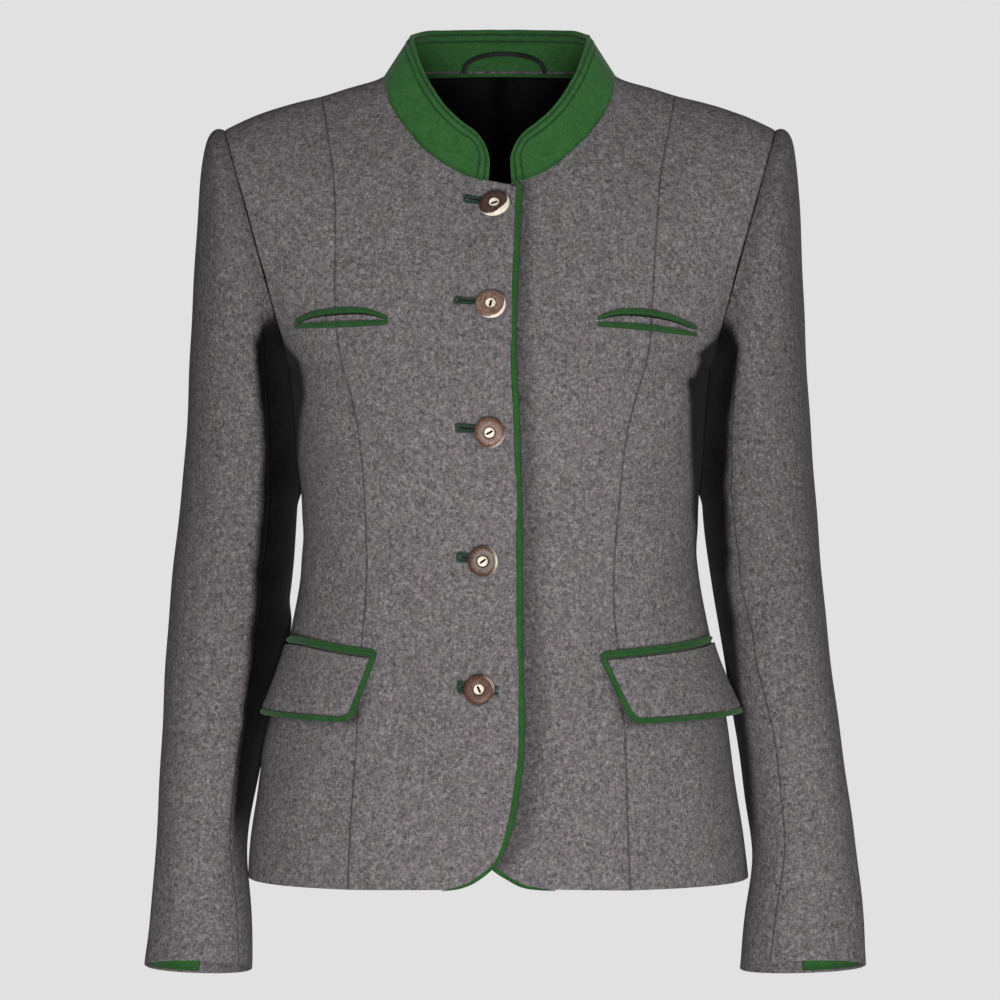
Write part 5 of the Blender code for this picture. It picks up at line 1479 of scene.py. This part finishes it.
LOOP_HALF = 0.031
LOOP_RISE = 0.0150
LOOP_RADIUS = 0.0014
back_middle = collar_half(np.array([1.0]), np.array([0.0, 1.0]))[:, 0]
collar_lean = (back_middle[1, 1] - back_middle[0, 1]) / (back_middle[1, 2] - back_middle[0, 2])
turn = np.linspace(0, math.pi, 60)
rise = np.sin(turn).clip(0) ** 0.75 * LOOP_RISE
loop_x = 0.003 + LOOP_HALF * np.cos(turn)
loop_base = on_body(np.abs(loop_x), np.full(60, 0.0155), "back")[:, 1]
clear = (COLLAR_THICK + 2 * LOOP_RADIUS) * math.hypot(1, collar_lean)
loop_line = np.stack([loop_x, loop_base - clear + collar_lean * (rise + LOOP_RADIUS), 0.0165 + rise], axis=1)
loop_along = np.gradient(loop_line, axis=0)
loop_along /= np.linalg.norm(loop_along, axis=1, keepdims=True)
loop_out = np.tile(np.array([0.0, -math.cos(math.atan(collar_lean)), math.sin(math.atan(collar_lean))]), (60, 1))
loop_across = np.cross(loop_along, loop_out)
loop_across /= np.linalg.norm(loop_across, axis=1, keepdims=True)
hanger_loop = swept("cord_hanger_loop", loop_line, loop_across, loop_out, 0.0032, 0.0016, LINING, 12, 0.8, lambda flat, high: 7.0 + 0 * flat)


# --- sleeves ---------------------------------------------------------------------------------------

RING_FINE = np.concatenate([np.array([0, 0.035, 0.075, 0.12, 0.18, 0.26, 0.36]), np.arange(0.48, 4.0, 0.13), np.arange(4.05, 14.9, 0.085)])
RING_FINE = np.concatenate([RING_FINE[RING_FINE < 14.86], [14.885, 14.93, 14.955, 14.975, 14.99, 15.0]])
FIRST_TURN = ARM_ANGLES[SPLIT]
cuffs = {}
sleeves = {}


# Where the front seam of each sleeve runs: section and degrees round the arm.
FRONT_SEAM = {
    "right": ((0, 112.7), (2, 115), (5, 122), (8, 124), (10, 123), (12, 130), (13.5, 138), (15, 142)),
    "left": ((0, 112.7), (2, 115), (5, 121), (8, 122), (9.5, 118), (11, 111), (12.5, 115), (14, 121), (15, 125)),
}
# The inner part of each sleeve lies in the body's shadow, seen from the front: height and how
# far in (0 the middle of the arm, 1 its inner side) that starts.
SHADOW = ("z", "from")
SHADOW_ROWS = {
    "right": ((-0.130, 0.95), (-0.165, 0.60), (-0.195, 0.30), (-0.230, 0.38), (-0.270, 0.44), (-0.330, 0.41), (-0.420, 0.44), (-0.500, 0.55), (-0.560, 0.72), (-0.620, 0.92)),
    "left": ((-0.130, 0.95), (-0.170, 0.62), (-0.200, 0.42), (-0.250, 0.55), (-0.320, 0.60), (-0.387, 0.72), (-0.450, 0.80), (-0.520, 0.85), (-0.580, 0.95), (-0.620, 1.10)),
}


def sleeve_piece(name, side, share, first):
    turns_from, turns_to = first
    ring = np.repeat(RING_FINE[:, None], len(share), axis=1)
    turn = lerp(turns_from(RING_FINE)[:, None], turns_to(RING_FINE)[:, None], share[None])
    points, normals = sleeve(side, ring, turn), sleeve_normal(side, ring, turn)
    seams = "lr"
    # The inner side leans on the body just under the arm.
    z = points[..., 2]
    lean = SLEEVE_LEAN * ease((-0.200 - z) / 0.035) * ease((z + 0.318) / 0.020)
    if side == "right":
        lean = lean + 0.0040 * ease((-0.385 - z) / 0.022) * ease((z + 0.496) / 0.016)
    lean = lean * np.clip(-np.cos(turn), 0, 1) ** 3
    points[..., 0] -= lean
    below = from_side(points, "b")
    # The seam allowance inside the sleeve head lifts it just past the armhole seam.
    head = 0.0001 * np.exp(-(((below - 0.0065) / 0.0042) ** 2)) * ease((np.cos(turn) + 0.35) / 0.9)
    calm = ease(below / 0.02)
    lift = arm_folds(points, turn, side) * calm * ease(from_side(points, "t") / 0.012 + 0.35) + head
    base = points + normals * lift[..., None]
    dip, shade = seam_groove(points, seams)
    dip_head, shade_head = seam_groove(points, "b")
    dip, shade = np.maximum(dip, 0.4 * dip_head), shade * lerp(1.0, shade_head, 0.5)
    round_off = rounding(from_side(points, "t"), 0.0011)
    # Cloth that faces the body gets little light.
    rows = SHADOW_ROWS[side]
    start = np.interp(z, column(SHADOW, rows, "z")[::-1], column(SHADOW, rows, "from")[::-1])
    bent = np.mod(turn, 2 * math.pi)
    facing = ease((-np.cos(turn) - start) / 0.17 + 0.5) * ease((-0.140 - z) / 0.05) * ease((z + 0.600) / 0.06)
    facing = facing * ease((math.radians(250) - bent) / math.radians(35))
    # Painted shade: the sleeve is also painted darker towards its top.
    shade = shade * (1 - SLEEVE_SHADE * facing) * lerp(0.80, 0.97, ease((-0.30 - z) / 0.28))
    cuff = from_side(points, "t")[:-1, :-1] < 0.036
    inner_mats = np.where(cuff, 0, 1)
    outer = mirrored(base, side)
    obj = shell(name, outer, mirrored(normals, side), CLOTH, [LODEN, LINING], inner_mats, -dip - round_off, -round_off, shade)
    sleeves[name] = (obj, outer)
    return obj


SLEEVE_SHADE = 0.982
SLEEVE_LEAN = 0.0042
for side in SIDES:
    rings, degrees = zip(*FRONT_SEAM[side])
    front_seam = spline(rings, np.radians(degrees))
    behind_seam = lambda ring: 0 * ring - FIRST_TURN
    sleeve_piece(f"cloth_sleeve_upper_{side}", side, fine_columns(0.22, 76), (behind_seam, front_seam))
    sleeve_piece(
        f"cloth_sleeve_under_{side}", side, fine_columns(0.11, 36), (front_seam, lambda ring: 0 * ring + 2 * math.pi - FIRST_TURN)
    )

facings = {}
for side in SIDES:
    behind = TURNS[(TURNS > math.radians(-100)) & (TURNS < math.radians(-10))]
    ring, turn = np.meshgrid(np.linspace(13.6, 14.97, 14), np.linspace(behind[0], behind[-1], 30), indexing="ij")
    points, normals = sleeve(side, ring, turn), sleeve_normal(side, ring, turn)
    points = points - normals * (CLOTH + FACING_CLEAR)
    round_off = np.maximum(rounding(from_side(points, "t"), 0.0006), rounding(np.minimum(from_side(points, "l"), from_side(points, "r")), 0.0006))
    facings[side] = (
        shell(f"cloth_cuff_facing_{side}", mirrored(points, side), mirrored(normals, side), FACING_THICK, [FELT], None, -round_off, -round_off, np.full(points.shape[:2], 0.66)),
        points,
    )


# --- pockets ---------------------------------------------------------------------------------------


WELT_TONE = 0.66


def welt_solid(name, points, normals, low, high, finish, crown=0.6, dark_low=0.0):
    """A soft welt: its face is crowned between its two long edges and its ends."""
    rows, cols = points.shape[:2]
    t = np.linspace(0, 1, rows)[:, None]
    s = np.linspace(0, 1, cols)[None]
    across = np.sqrt(np.clip(1 - (2 * t - 1) ** 2, 0, 1)) ** crown
    ends = np.clip(np.minimum(s, 1 - s) * cols / 5, 0, 1)
    height = low + (high - low) * across * (0.35 + 0.65 * np.sqrt(1 - (1 - ends) ** 2))
    outer = points + normals * height[..., None]
    inner = points + normals * (low - 0.0004)
    thick = np.linalg.norm(outer - inner, axis=-1, keepdims=True)
    # Painted shade: the welt is darker along its lower edge, as much as dark_low, and the line down its middle is
    # painted darker too.
    shade = WELT_TONE * (1 - dark_low * np.exp(-((t / 0.13) ** 2)) - 0.35 * np.exp(-(((t - 0.52) / 0.07) ** 2)) + 0 * s)
    obj = shell(name, outer, normals, 0.0, [finish], None, 0.0, (height - low + 0.0004), shade)
    return obj


def band(points_two, rows):
    """More rows between the two long edges of a welt."""
    t = np.linspace(0, 1, rows)[:, None, None]
    return lerp(points_two[0][None], points_two[1][None], t)


welts = {side: [] for side in SIDES}
for side in SIDES:
    rows = CHEST_ROWS[side]
    for which in ("upper", "lower"):
        points, normals = chest_welt(side, which, 90)
        points, normals = band(points, 11), band(normals, 11)
        normals /= np.linalg.norm(normals, axis=-1, keepdims=True)
        obj = welt_solid(
            f"cloth_chest_welt_{which}_{side}",
            mirrored(points, side),
            mirrored(normals, side),
            WELT_CLEAR,
            WELT_CLEAR + WELT_THICK + 0.0004,
            FELT,
            0.55,
            0.85 if which == "upper" else 0.55,
        )
        welts[side].append(piece(obj, FELT, f"chest_welt_{which}_{side}"))
    # The mouth of the pocket: a black strip under the upper welt stands for the shade in the opening.
    x = np.linspace(rows[0][0] + 0.002, rows[-1][0] - 0.002, 60)
    upper = spline(column(CHEST, rows, "x"), column(CHEST, rows, "upper_z"))(x)
    lower = spline(column(CHEST, rows, "x"), column(CHEST, rows, "lower_z"))(x)
    share = np.linspace(0, 1, 60)
    under = upper - CHEST_WELT / 2 * (0.45 + 0.55 * np.sin(math.pi * share) ** 0.5)
    z = under - 0.0002
    mouth = on_body(x, z, "front")
    out = body_normal(mouth, "front")
    along = np.gradient(mouth, axis=0)
    along /= np.linalg.norm(along, axis=1, keepdims=True)
    across = np.cross(along, out)
    tall = 0.0014 * np.sin(math.pi * share).clip(0.05) ** 0.4
    obj = swept(f"pocket_mouth_shade_{side}", mirrored(mouth + out * 0.0003, side), mirrored(across, side), mirrored(out, side), tall, 0.0010, LINING, 10, 0.9)
    welts[side].append(piece(obj, LINING))


WELT_ARCH = {"right": 0.0030, "left": 0.0}  # how far the waist welt arches up towards its outer end


def welt_arch(side, share):
    return WELT_ARCH[side] * np.sin(math.pi * np.clip(share, 0, 1) ** 1.5)


CORNER = 0.0062  # how far the flap's lower corner is rounded


def flap_surface(side, shares, downs, drop=0.0009):
    share, down = np.meshgrid(shares, downs)
    inner, outer = WAIST_ROWS[side]
    near = np.clip(share * 0.128 / CORNER, 0, 1)
    cut = CORNER / 0.047 * (1 - np.sqrt(1 - (1 - near) ** 2))
    reach = down * (1 - cut)
    z_from = lerp(inner[1], outer[1], share) - drop + welt_arch(side, share)
    z_to = lerp(inner[2] - 0.0018, outer[2] - 0.0034, share) + 0.0048
    z = lerp(z_from, z_to, reach)
    x_inner = lerp(WAIST_INNER[side][0] + 0.0045, WAIST_INNER[side][1] + 0.0045, reach)
    start = section_angle(x_inner, z, "front")
    points = on_section(lerp(start, math.radians(OUTER_END[side]), share), z, "front")
    normals = body_normal(points, "front")
    flare = lerp(inner[3], outer[3], share**1.5) * reach**1.4
    k = 0.0 if side == "right" else 1.9
    soft = 0.0007 * np.sin(share * 7.0 + k) * reach**1.5 + 0.0004 * np.sin(share * 15 + reach * 3 + k) * reach
    return points + normals * (WELT_CLEAR + 0.0002 + flare + soft)[..., None], normals


flaps = {}
for side in SIDES:
    share, down = np.meshgrid(np.linspace(0, 1, 110), np.linspace(0, 1, 11))
    points = waist_point(side, share, 0, 1, down, 0 * down)
    points[..., 2] += welt_arch(side, share)
    normals = body_normal(points, "front")
    middle = points.mean(axis=0)[None]
    taper = np.minimum(ease((1 - share) / 0.16 + 0.22), ease(share / 0.07 + 0.45))
    points = middle + (points - middle) * taper[..., None]
    # Row 0 is the welt's top, so its dark foot is on the last row.
    points, normals = points[::-1], normals[::-1]
    obj = welt_solid(
        f"cloth_waist_welt_{side}", hung(points, side), mirrored(normals, side), WELT_CLEAR, WELT_CLEAR + 0.0028, FELT, 0.5, 0.6
    )
    waist_piece = piece(obj, FELT, f"waist_welt_{side}")
    shares = np.concatenate([np.linspace(0, 0.012, 8), np.linspace(0.018, 0.12, 26), np.linspace(0.128, 0.985, 90), np.linspace(0.988, 1, 6)])
    downs = np.concatenate([np.linspace(0, 0.04, 4), np.linspace(0.06, 0.95, 30), np.linspace(0.965, 1, 5)])
    back, normals = flap_surface(side, shares, downs)
    away_end = from_side(back, "r")
    away = np.minimum(from_side(back, "l"), from_side(back, "t"))
    pillow = 0.0005 * ease(np.minimum(away, away_end) / 0.008)
    round_off = rounding(away_end, 0.0013)
    dip = 0.0007 * np.exp(-((away / 0.0016) ** 2))
    shade = 1 - 0.45 * np.exp(-((away / 0.0009) ** 2))
    obj = shell(
        f"cloth_waist_flap_{side}",
        hung(back + normals * FLAP_THICK, side),
        mirrored(normals, side),
        FLAP_THICK,
        [LODEN, LINING],
        np.ones((len(downs) - 1, len(shares) - 1), int),
        pillow - dip - round_off,
        -round_off,
        shade,
    )
    rim_shares = np.linspace(0, 1, 260)
    left_edge = flap_surface(side, np.array([0.0]), np.linspace(0, 1, 60))
    bottom = flap_surface(side, rim_shares**1.5, np.array([1.0]))
    rim = np.concatenate([left_edge[0][:-1, 0], bottom[0][0]])
    out = np.concatenate([left_edge[1][:-1, 0], bottom[1][0]])
    # It starts under the welt.
    first = rim[0] - rim[12]
    first /= np.linalg.norm(first)
    rim = np.concatenate([rim[:1] + first * 0.0034, rim])
    out = np.concatenate([out[:1], out])
    far = np.concatenate([[0], np.cumsum(np.linalg.norm(np.diff(rim, axis=0), axis=1))])
    even = np.linspace(0, far[-1], 300)
    rim = np.stack([np.interp(even, far, rim[:, k]) for k in range(3)], axis=1)
    out = np.stack([np.interp(even, far, out[:, k]) for k in range(3)], axis=1)
    soft_rim = rim.copy()
    for _ in range(6):
        soft_rim[1:-1] = (soft_rim[:-2] + 2 * soft_rim[1:-1] + soft_rim[2:]) / 4
    along = np.gradient(soft_rim, axis=0)
    along /= np.linalg.norm(along, axis=1, keepdims=True)
    out = out - along * (out * along).sum(axis=1, keepdims=True)
    out /= np.linalg.norm(out, axis=1, keepdims=True)
    across = np.cross(along, out)
    if across[-3, 2] > 0:
        across = -across
    width = 0.0044
    middle = soft_rim + across * (width / 2 + 0.0001) + out * FLAP_THICK / 2
    wobble = 1 + 0.02 * np.sin(even * 900)
    # Painted shade and painted highlight: the binding's section is darker at its two long sides and lighter in a band
    # beside its middle.
    edging = swept(
        f"cloth_flap_binding_{side}", hung(middle, side), mirrored(across, side), mirrored(out, side), width * wobble, FLAP_THICK + 0.0005, FELT, 14, 0.65,
        lambda flat, high: 0.62 * (1 - 0.35 * (flat < -0.80) - 0.25 * (flat > 0.80)) * (1 + 0.2 * np.exp(-(((flat + 0.5) / 0.3) ** 2))),
    )
    edging = piece(edging, FELT, f"flap_binding_{side}")
    flaps[side] = (obj, hung(back, side), edging, waist_piece)


# --- buttonholes -----------------------------------------------------------------------------------

# Each hole on the right front: its two ends (x towards the wearer's left) and heights, and how
# tall the stitching is at the bar end.
HOLE_ROWS = (
    (-0.0250, -0.0890, 0.0000, -0.0922, 0.0037),
    (-0.0318, -0.1652, -0.0045, -0.1672, 0.0032),
    (-0.0308, -0.2588, -0.0050, -0.2605, 0.0038),
    (-0.0300, -0.3535, -0.0080, -0.3548, 0.0044),
    (-0.0296, -0.4485, -0.0012, -0.4512, 0.0048),
)


def hole_point(x, z):
    """A point on the right front's outside and its normal, from x towards the wearer's left."""
    x, z = np.atleast_1d(x), np.atleast_1d(z)
    points = on_body(-x, z, "front")
    points[..., 0] = -x
    points = on_body(np.abs(x), z, "front")
    normals = body_normal(points, "front")
    flip = np.where(x < 0, -1.0, 1.0)
    points[..., 0] *= flip
    normals[..., 0] *= flip
    return points, normals


hole_lines, slit_pieces = [], []
for hx0, hz0, hx1, hz1, tall in HOLE_ROWS:
    count = int(math.hypot(hx1 - hx0, hz1 - hz0) / 0.00048)
    for i in range(count + 1):
        t = i / count
        x, z = lerp(hx0, hx1, t), lerp(hz0, hz1, t)
        swell = 1 + 0.22 * math.exp(-((t - 0.02) / 0.12) ** 2) + 0.05 * math.sin(i * 1.7)
        for k in (-1, 1):
            reach = np.linspace(0.00030, tall * 0.92 * swell, 5)
            points, normals = hole_point(x + 0.0002 * k + 0 * reach, z + k * reach)
            height = 0.00045 * np.sin(math.pi * np.linspace(0.12, 1.0, 5)) - 0.00012
            hole_lines.append(points + normals * height[:, None])
    # The bar across the hole's end.
    for step in np.linspace(0, 0.0016, 4):
        reach = np.linspace(-tall, tall, 7) * 0.98
        points, normals = hole_point(hx0 - 0.0002 - step + 0 * reach, hz0 + reach)
        height = 0.00062 * np.cos(math.pi / 2 * np.linspace(-0.95, 0.95, 7)) - 0.00008
        hole_lines.append(points + normals * height[:, None])
    # A dark strip along each hole stands for the shade in the cut slit.
    x, z = np.linspace(hx0 + 0.0006, hx1 - 0.0006, 24), np.linspace(hz0, hz1, 24)
    points, normals = hole_point(x, z)
    up = np.tile(np.array([0.0, 0.0, 1.0]), (24, 1))
    slit_pieces.append(swept(f"buttonhole_slit_shade_{len(slit_pieces) + 1}", points + normals * 0.0001, up, normals, 0.0009, 0.0006, LINING, 8))
holes = piece(threads("buttonhole_stitches", hole_lines, 0.00027, HOLE, 5), HOLE)
slits = [piece(obj, LINING) for obj in slit_pieces]


# --- buttons ---------------------------------------------------------------------------------------

# Turned sections, from the middle of the face over the rim to the middle of the back.
BUTTON_FINE = (
    (0.0, 0.60), (0.10, 0.60), (0.25, 0.61), (0.295, 0.63), (0.325, 0.72), (0.345, 0.85), (0.37, 0.94), (0.42, 0.99),
    (0.50, 1.00), (0.62, 0.995), (0.72, 0.98), (0.78, 0.955), (0.83, 0.90), (0.88, 0.82), (0.93, 0.71), (0.97, 0.58), (0.99, 0.46),
    (1.00, 0.36), (0.985, 0.22), (0.95, 0.10), (0.88, 0.02), (0.80, 0.0), (0.40, 0.0), (0.0, 0.0),
)
# How a button's pale cut edge lies: direction in degrees, how far round it shows, how deep it
# reaches into the face, the slot's angle, the pale centre and the tone of the bark.
LOOKS = ("towards", "spread", "depth", "slot", "centre", "tone")
LOOK_ROWS = (
    (-48.0, 1.05, 0.26, 15.0, 1.0, (0.62, 0.58, 0.60)),
    (-40.0, 1.00, 0.14, 75.0, 0.9, (1.75, 1.95, 2.15)),
    (-50.0, 0.90, 0.06, 30.0, 0.9, (1.35, 1.25, 1.30)),
    (0.0, 1.10, 0.07, 37.0, 0.9, (0.85, 0.90, 0.92)),
    (35.0, 0.80, 0.05, -65.0, 1.0, (0.95, 0.82, 0.80)),
)
STEPS = 72
profile = np.array(BUTTON_FINE)
for number, ((x, z, lean_turn, lean), (towards, spread, deep, slot, pale_centre, tone)) in enumerate(zip(BUTTON_ROWS, LOOK_ROWS), 1):
    spot = on_body(np.array([x]), np.array([z]), "front")
    normal = body_normal(spot, "front")[0]
    tip = math.radians(lean)
    lift = BUTTON_CLEAR + math.sin(tip) * BUTTON_RADIUS
    aim = np.array([math.cos(math.radians(lean_turn)), 0, math.sin(math.radians(lean_turn))])
    aim -= normal * (aim * normal).sum()
    aim /= np.linalg.norm(aim)
    axis = normal * math.cos(tip) + aim * math.sin(tip)
    centre = spot[0] + normal * lift
    right = np.array([1.0, 0, 0]) - axis * axis[0]
    right /= np.linalg.norm(right)
    upward = np.cross(axis, right)
    upward = -upward if upward[2] < 0 else upward
    turns = np.arange(STEPS) * 2 * math.pi / STEPS
    radius = profile[:, 0][:, None] + 0 * turns[None]
    height = profile[:, 1][:, None] + 0 * turns[None]
    # Staghorn is never quite round or level.
    seed = number * 1.3
    radius = radius * (1 + 0.012 * np.sin(2 * turns + seed)[None] + 0.008 * np.sin(3 * turns + 2 * seed)[None])
    face = (profile[:, 1] > 0.5)[:, None]
    height = height + face * 0.03 * radius * np.sin(turns - seed)[None]
    flat_x, flat_z = radius * np.cos(turns), radius * np.sin(turns)
    # The slot across the sunk centre.
    a = math.radians(slot)
    off = np.abs(-flat_x * math.sin(a) + flat_z * math.cos(a))
    run = np.abs(flat_x * math.cos(a) + flat_z * math.sin(a))
    verts = (
        centre
        + right * (flat_x * BUTTON_RADIUS)[..., None]
        + upward * (flat_z * BUTTON_RADIUS)[..., None]
        + axis * (height * BUTTON_THICK)[..., None]
    )
    verts = np.concatenate([verts[0][:1], verts[1:-1].reshape(-1, 3), verts[-1][:1]])
    inner = len(profile) - 2
    faces = []
    for k in range(STEPS):
        faces.append((0, 1 + k, 1 + (k + 1) % STEPS))
        last = 1 + (inner - 1) * STEPS
        faces.append((last + k, len(verts) - 1, last + (k + 1) % STEPS))
        for i in range(inner - 1):
            one = 1 + i * STEPS
            faces.append((one + k, one + STEPS + k, one + STEPS + (k + 1) % STEPS, one + (k + 1) % STEPS))
    obj = make_object(f"horn_button_{number}", verts, faces, [HORN_MAT])
    # Pale where the bark is cut away: a crescent at the rim and the turned centre.
    gap = np.abs(np.angle(np.exp(1j * (turns - math.radians(towards)))))
    side_share = np.exp(-((gap / spread) ** 2))
    from_rim = 1 - profile[:, 0][:, None]
    crescent = ease((deep * side_share[None] * 1.25 + 0.012 - from_rim) / 0.05) * (profile[:, 1] > 0.2)[:, None]
    rim_pale = 0.80 * np.exp(-(((profile[:, 0][:, None] - 0.885) / 0.028) ** 2)) * (0.25 + 0.75 * side_share[None])
    middle = pale_centre * (profile[:, 0] < 0.335)[:, None] * (profile[:, 1] > 0.3)[:, None] * np.ones((1, STEPS))
    pale = np.clip(np.maximum(np.maximum(crescent, rim_pale), middle), 0, 1)
    values = np.concatenate([pale[0][:1], pale[1:-1].reshape(-1), pale[-1][:1]])
    layer = obj.data.attributes.new("pale", "FLOAT", "POINT")
    layer.data.foreach_set("value", values)
    # Painted shade on the steep wall round the sunk centre.
    dark = np.where((profile[:, 0] > 0.335)[:, None] & (profile[:, 0] < 0.38)[:, None], 0.40, 1.0) * np.ones((1, STEPS))
    shade = np.ones((len(verts), 4))
    shade[:, :3] = np.concatenate([dark[0][:1], dark[1:-1].reshape(-1), dark[-1][:1]])[:, None]
    shade[:, :3] *= lerp(np.array(tone)[None], 1.0, ease((values[:, None] - 0.3) / 0.3))
    obj.data.color_attributes["shade"].data.foreach_set("color", shade.ravel())
    piece(obj, HORN_MAT, f"button_{number}")
    # The slot that the thread passes through, with the thread's dark bar in it.
    half = 0.25 * BUTTON_RADIUS
    line = np.linspace(-half, half, 14)
    bar = centre + (right * math.cos(a) + upward * math.sin(a)) * line[:, None] + axis * (0.615 * BUTTON_THICK)
    side_way = np.tile(-right * math.sin(a) + upward * math.cos(a), (14, 1))
    bar_obj = swept(f"button_slot_{number}", bar, side_way, np.tile(axis, (14, 1)), 0.0016, 0.0008, LINING, 10, 0.9)
    piece(bar_obj, LINING)
    # The shank of thread between button and cloth.
    shank = [spot[0] + normal * 0.0001 + (right * dx + upward * dz) * 0.0006 + axis * h for dx, dz, h in ((0, 0, 0.0), (0.3, 0.1, lift * 0.5), (0, 0, lift + 0.0002))]
    piece(threads(f"button_shank_{number}", [shank], 0.0011, HOLE, 8), HOLE)


# --- rides and sheets ------------------------------------------------------------------------------

for name, (obj, points) in panels.items():
    node = name.replace("cloth_", "")
    piece(obj, LODEN, node)
for side in SIDES:
    piece(lining_pieces[side][0], LINING, f"lining_back_{side}")
    piece(bindings[side], FELT, f"edge_binding_{side}")
    piece(facings[side][0], FELT, f"cuff_facing_{side}")
    piece(flaps[side][0], LODEN, f"waist_flap_{side}")
for name, (obj, points) in sleeves.items():
    piece(obj, LODEN, name.replace("cloth_", ""))
piece(collar, FELT, "collar")
piece(collar_stitches, THREAD)
piece(neck_seam, LODEN)
piece(hanger_loop, LINING, "hanger_loop")

for name, (obj, points) in panels.items():
    with_it = []
    for side in SIDES:
        if name == f"cloth_front_{side}_centre":
            with_it += [bindings[side], *welts[side], flaps[side][3]]
            with_it += [holes, *slits] if side == "right" else []
    cut_of(obj, points)
for side in SIDES:
    cut_of(lining_pieces[side][0], lining_pieces[side][1])
    cut_of(facings[side][0], facings[side][1])
    cut_of(flaps[side][0], flaps[side][1])
for name, (obj, points) in sleeves.items():
    side = name.rsplit("_", 1)[1]
    cut_of(obj, points)
cut_of(collar, collar_points)
for row in sheets:
    print("sheet", *row)


# --- stage, lights, camera ---------------------------------------------------------------------------

PAPER = (0.753, 0.753, 0.753)


def plain(name, colour, glow):
    made = bpy.data.materials.new(name)
    made.use_nodes = True
    shader = made.node_tree.nodes["Principled BSDF"]
    shader.inputs["Base Color"].default_value = (*colour, 1.0)
    shader.inputs["Roughness"].default_value = 0.9
    shader.inputs["Specular IOR Level"].default_value = 0.0
    shader.inputs["Emission Color"].default_value = (*PAPER, 1.0)
    shader.inputs["Emission Strength"].default_value = glow
    return made


bpy.ops.mesh.primitive_circle_add(vertices=96, radius=4.6, fill_type="NGON", location=(0, 0, -1.45))
floor = bpy.context.object
floor.name = "floor"
floor.data.materials.append(plain("floor_paint", (0.35, 0.35, 0.35), 0.80))
floor.visible_diffuse = False
floor.visible_glossy = False

bpy.ops.mesh.primitive_uv_sphere_add(segments=64, ring_count=32, radius=9.0, location=(0, 0, 0))
backdrop = bpy.context.object
backdrop.name = "backdrop"
backdrop.data.materials.append(plain("backdrop_paint", (0.0, 0.0, 0.0), 1.0))
backdrop.visible_diffuse = False
backdrop.visible_glossy = False
backdrop.visible_shadow = False

world = bpy.data.worlds.new("studio")
bpy.context.scene.world = world
world.use_nodes = True
world.node_tree.nodes["Background"].inputs["Color"].default_value = (1.0, 1.0, 1.0, 1.0)
world.node_tree.nodes["Background"].inputs["Strength"].default_value = AMBIENT


def soft_light(name, place, aim, size, power_w):
    data = bpy.data.lights.new(name, "AREA")
    data.shape = "RECTANGLE"
    data.size, data.size_y = size
    data.energy = power_w
    lamp = bpy.data.objects.new(name, data)
    lamp.visible_camera = False
    bpy.context.scene.collection.objects.link(lamp)
    way = np.array(aim, float) - np.array(place, float)
    way /= np.linalg.norm(way)
    back = -way
    side_axis = np.cross([0, 0, 1.0], back)
    side_axis /= np.linalg.norm(side_axis)
    top_axis = np.cross(back, side_axis)
    for row in range(3):
        for col, vector in enumerate((side_axis, top_axis, back, np.array(place, float))):
            lamp.matrix_world[row][col] = float(vector[row])
    return lamp


for light in LIGHTS:
    soft_light(*light)

data = bpy.data.cameras.new("photo")
data.sensor_width = 36.0
data.sensor_fit = "HORIZONTAL"
data.lens = 36.0 * 3947.4 / 1000.0
data.clip_end = 60.0
camera = bpy.data.objects.new("photo", data)
camera.location = (0.0, -3.0, -0.3116)
camera.rotation_euler = (math.pi / 2, 0.0, 0.0)
bpy.context.scene.collection.objects.link(camera)
bpy.context.scene.camera = camera
bpy.context.scene.view_settings.view_transform = "Standard"
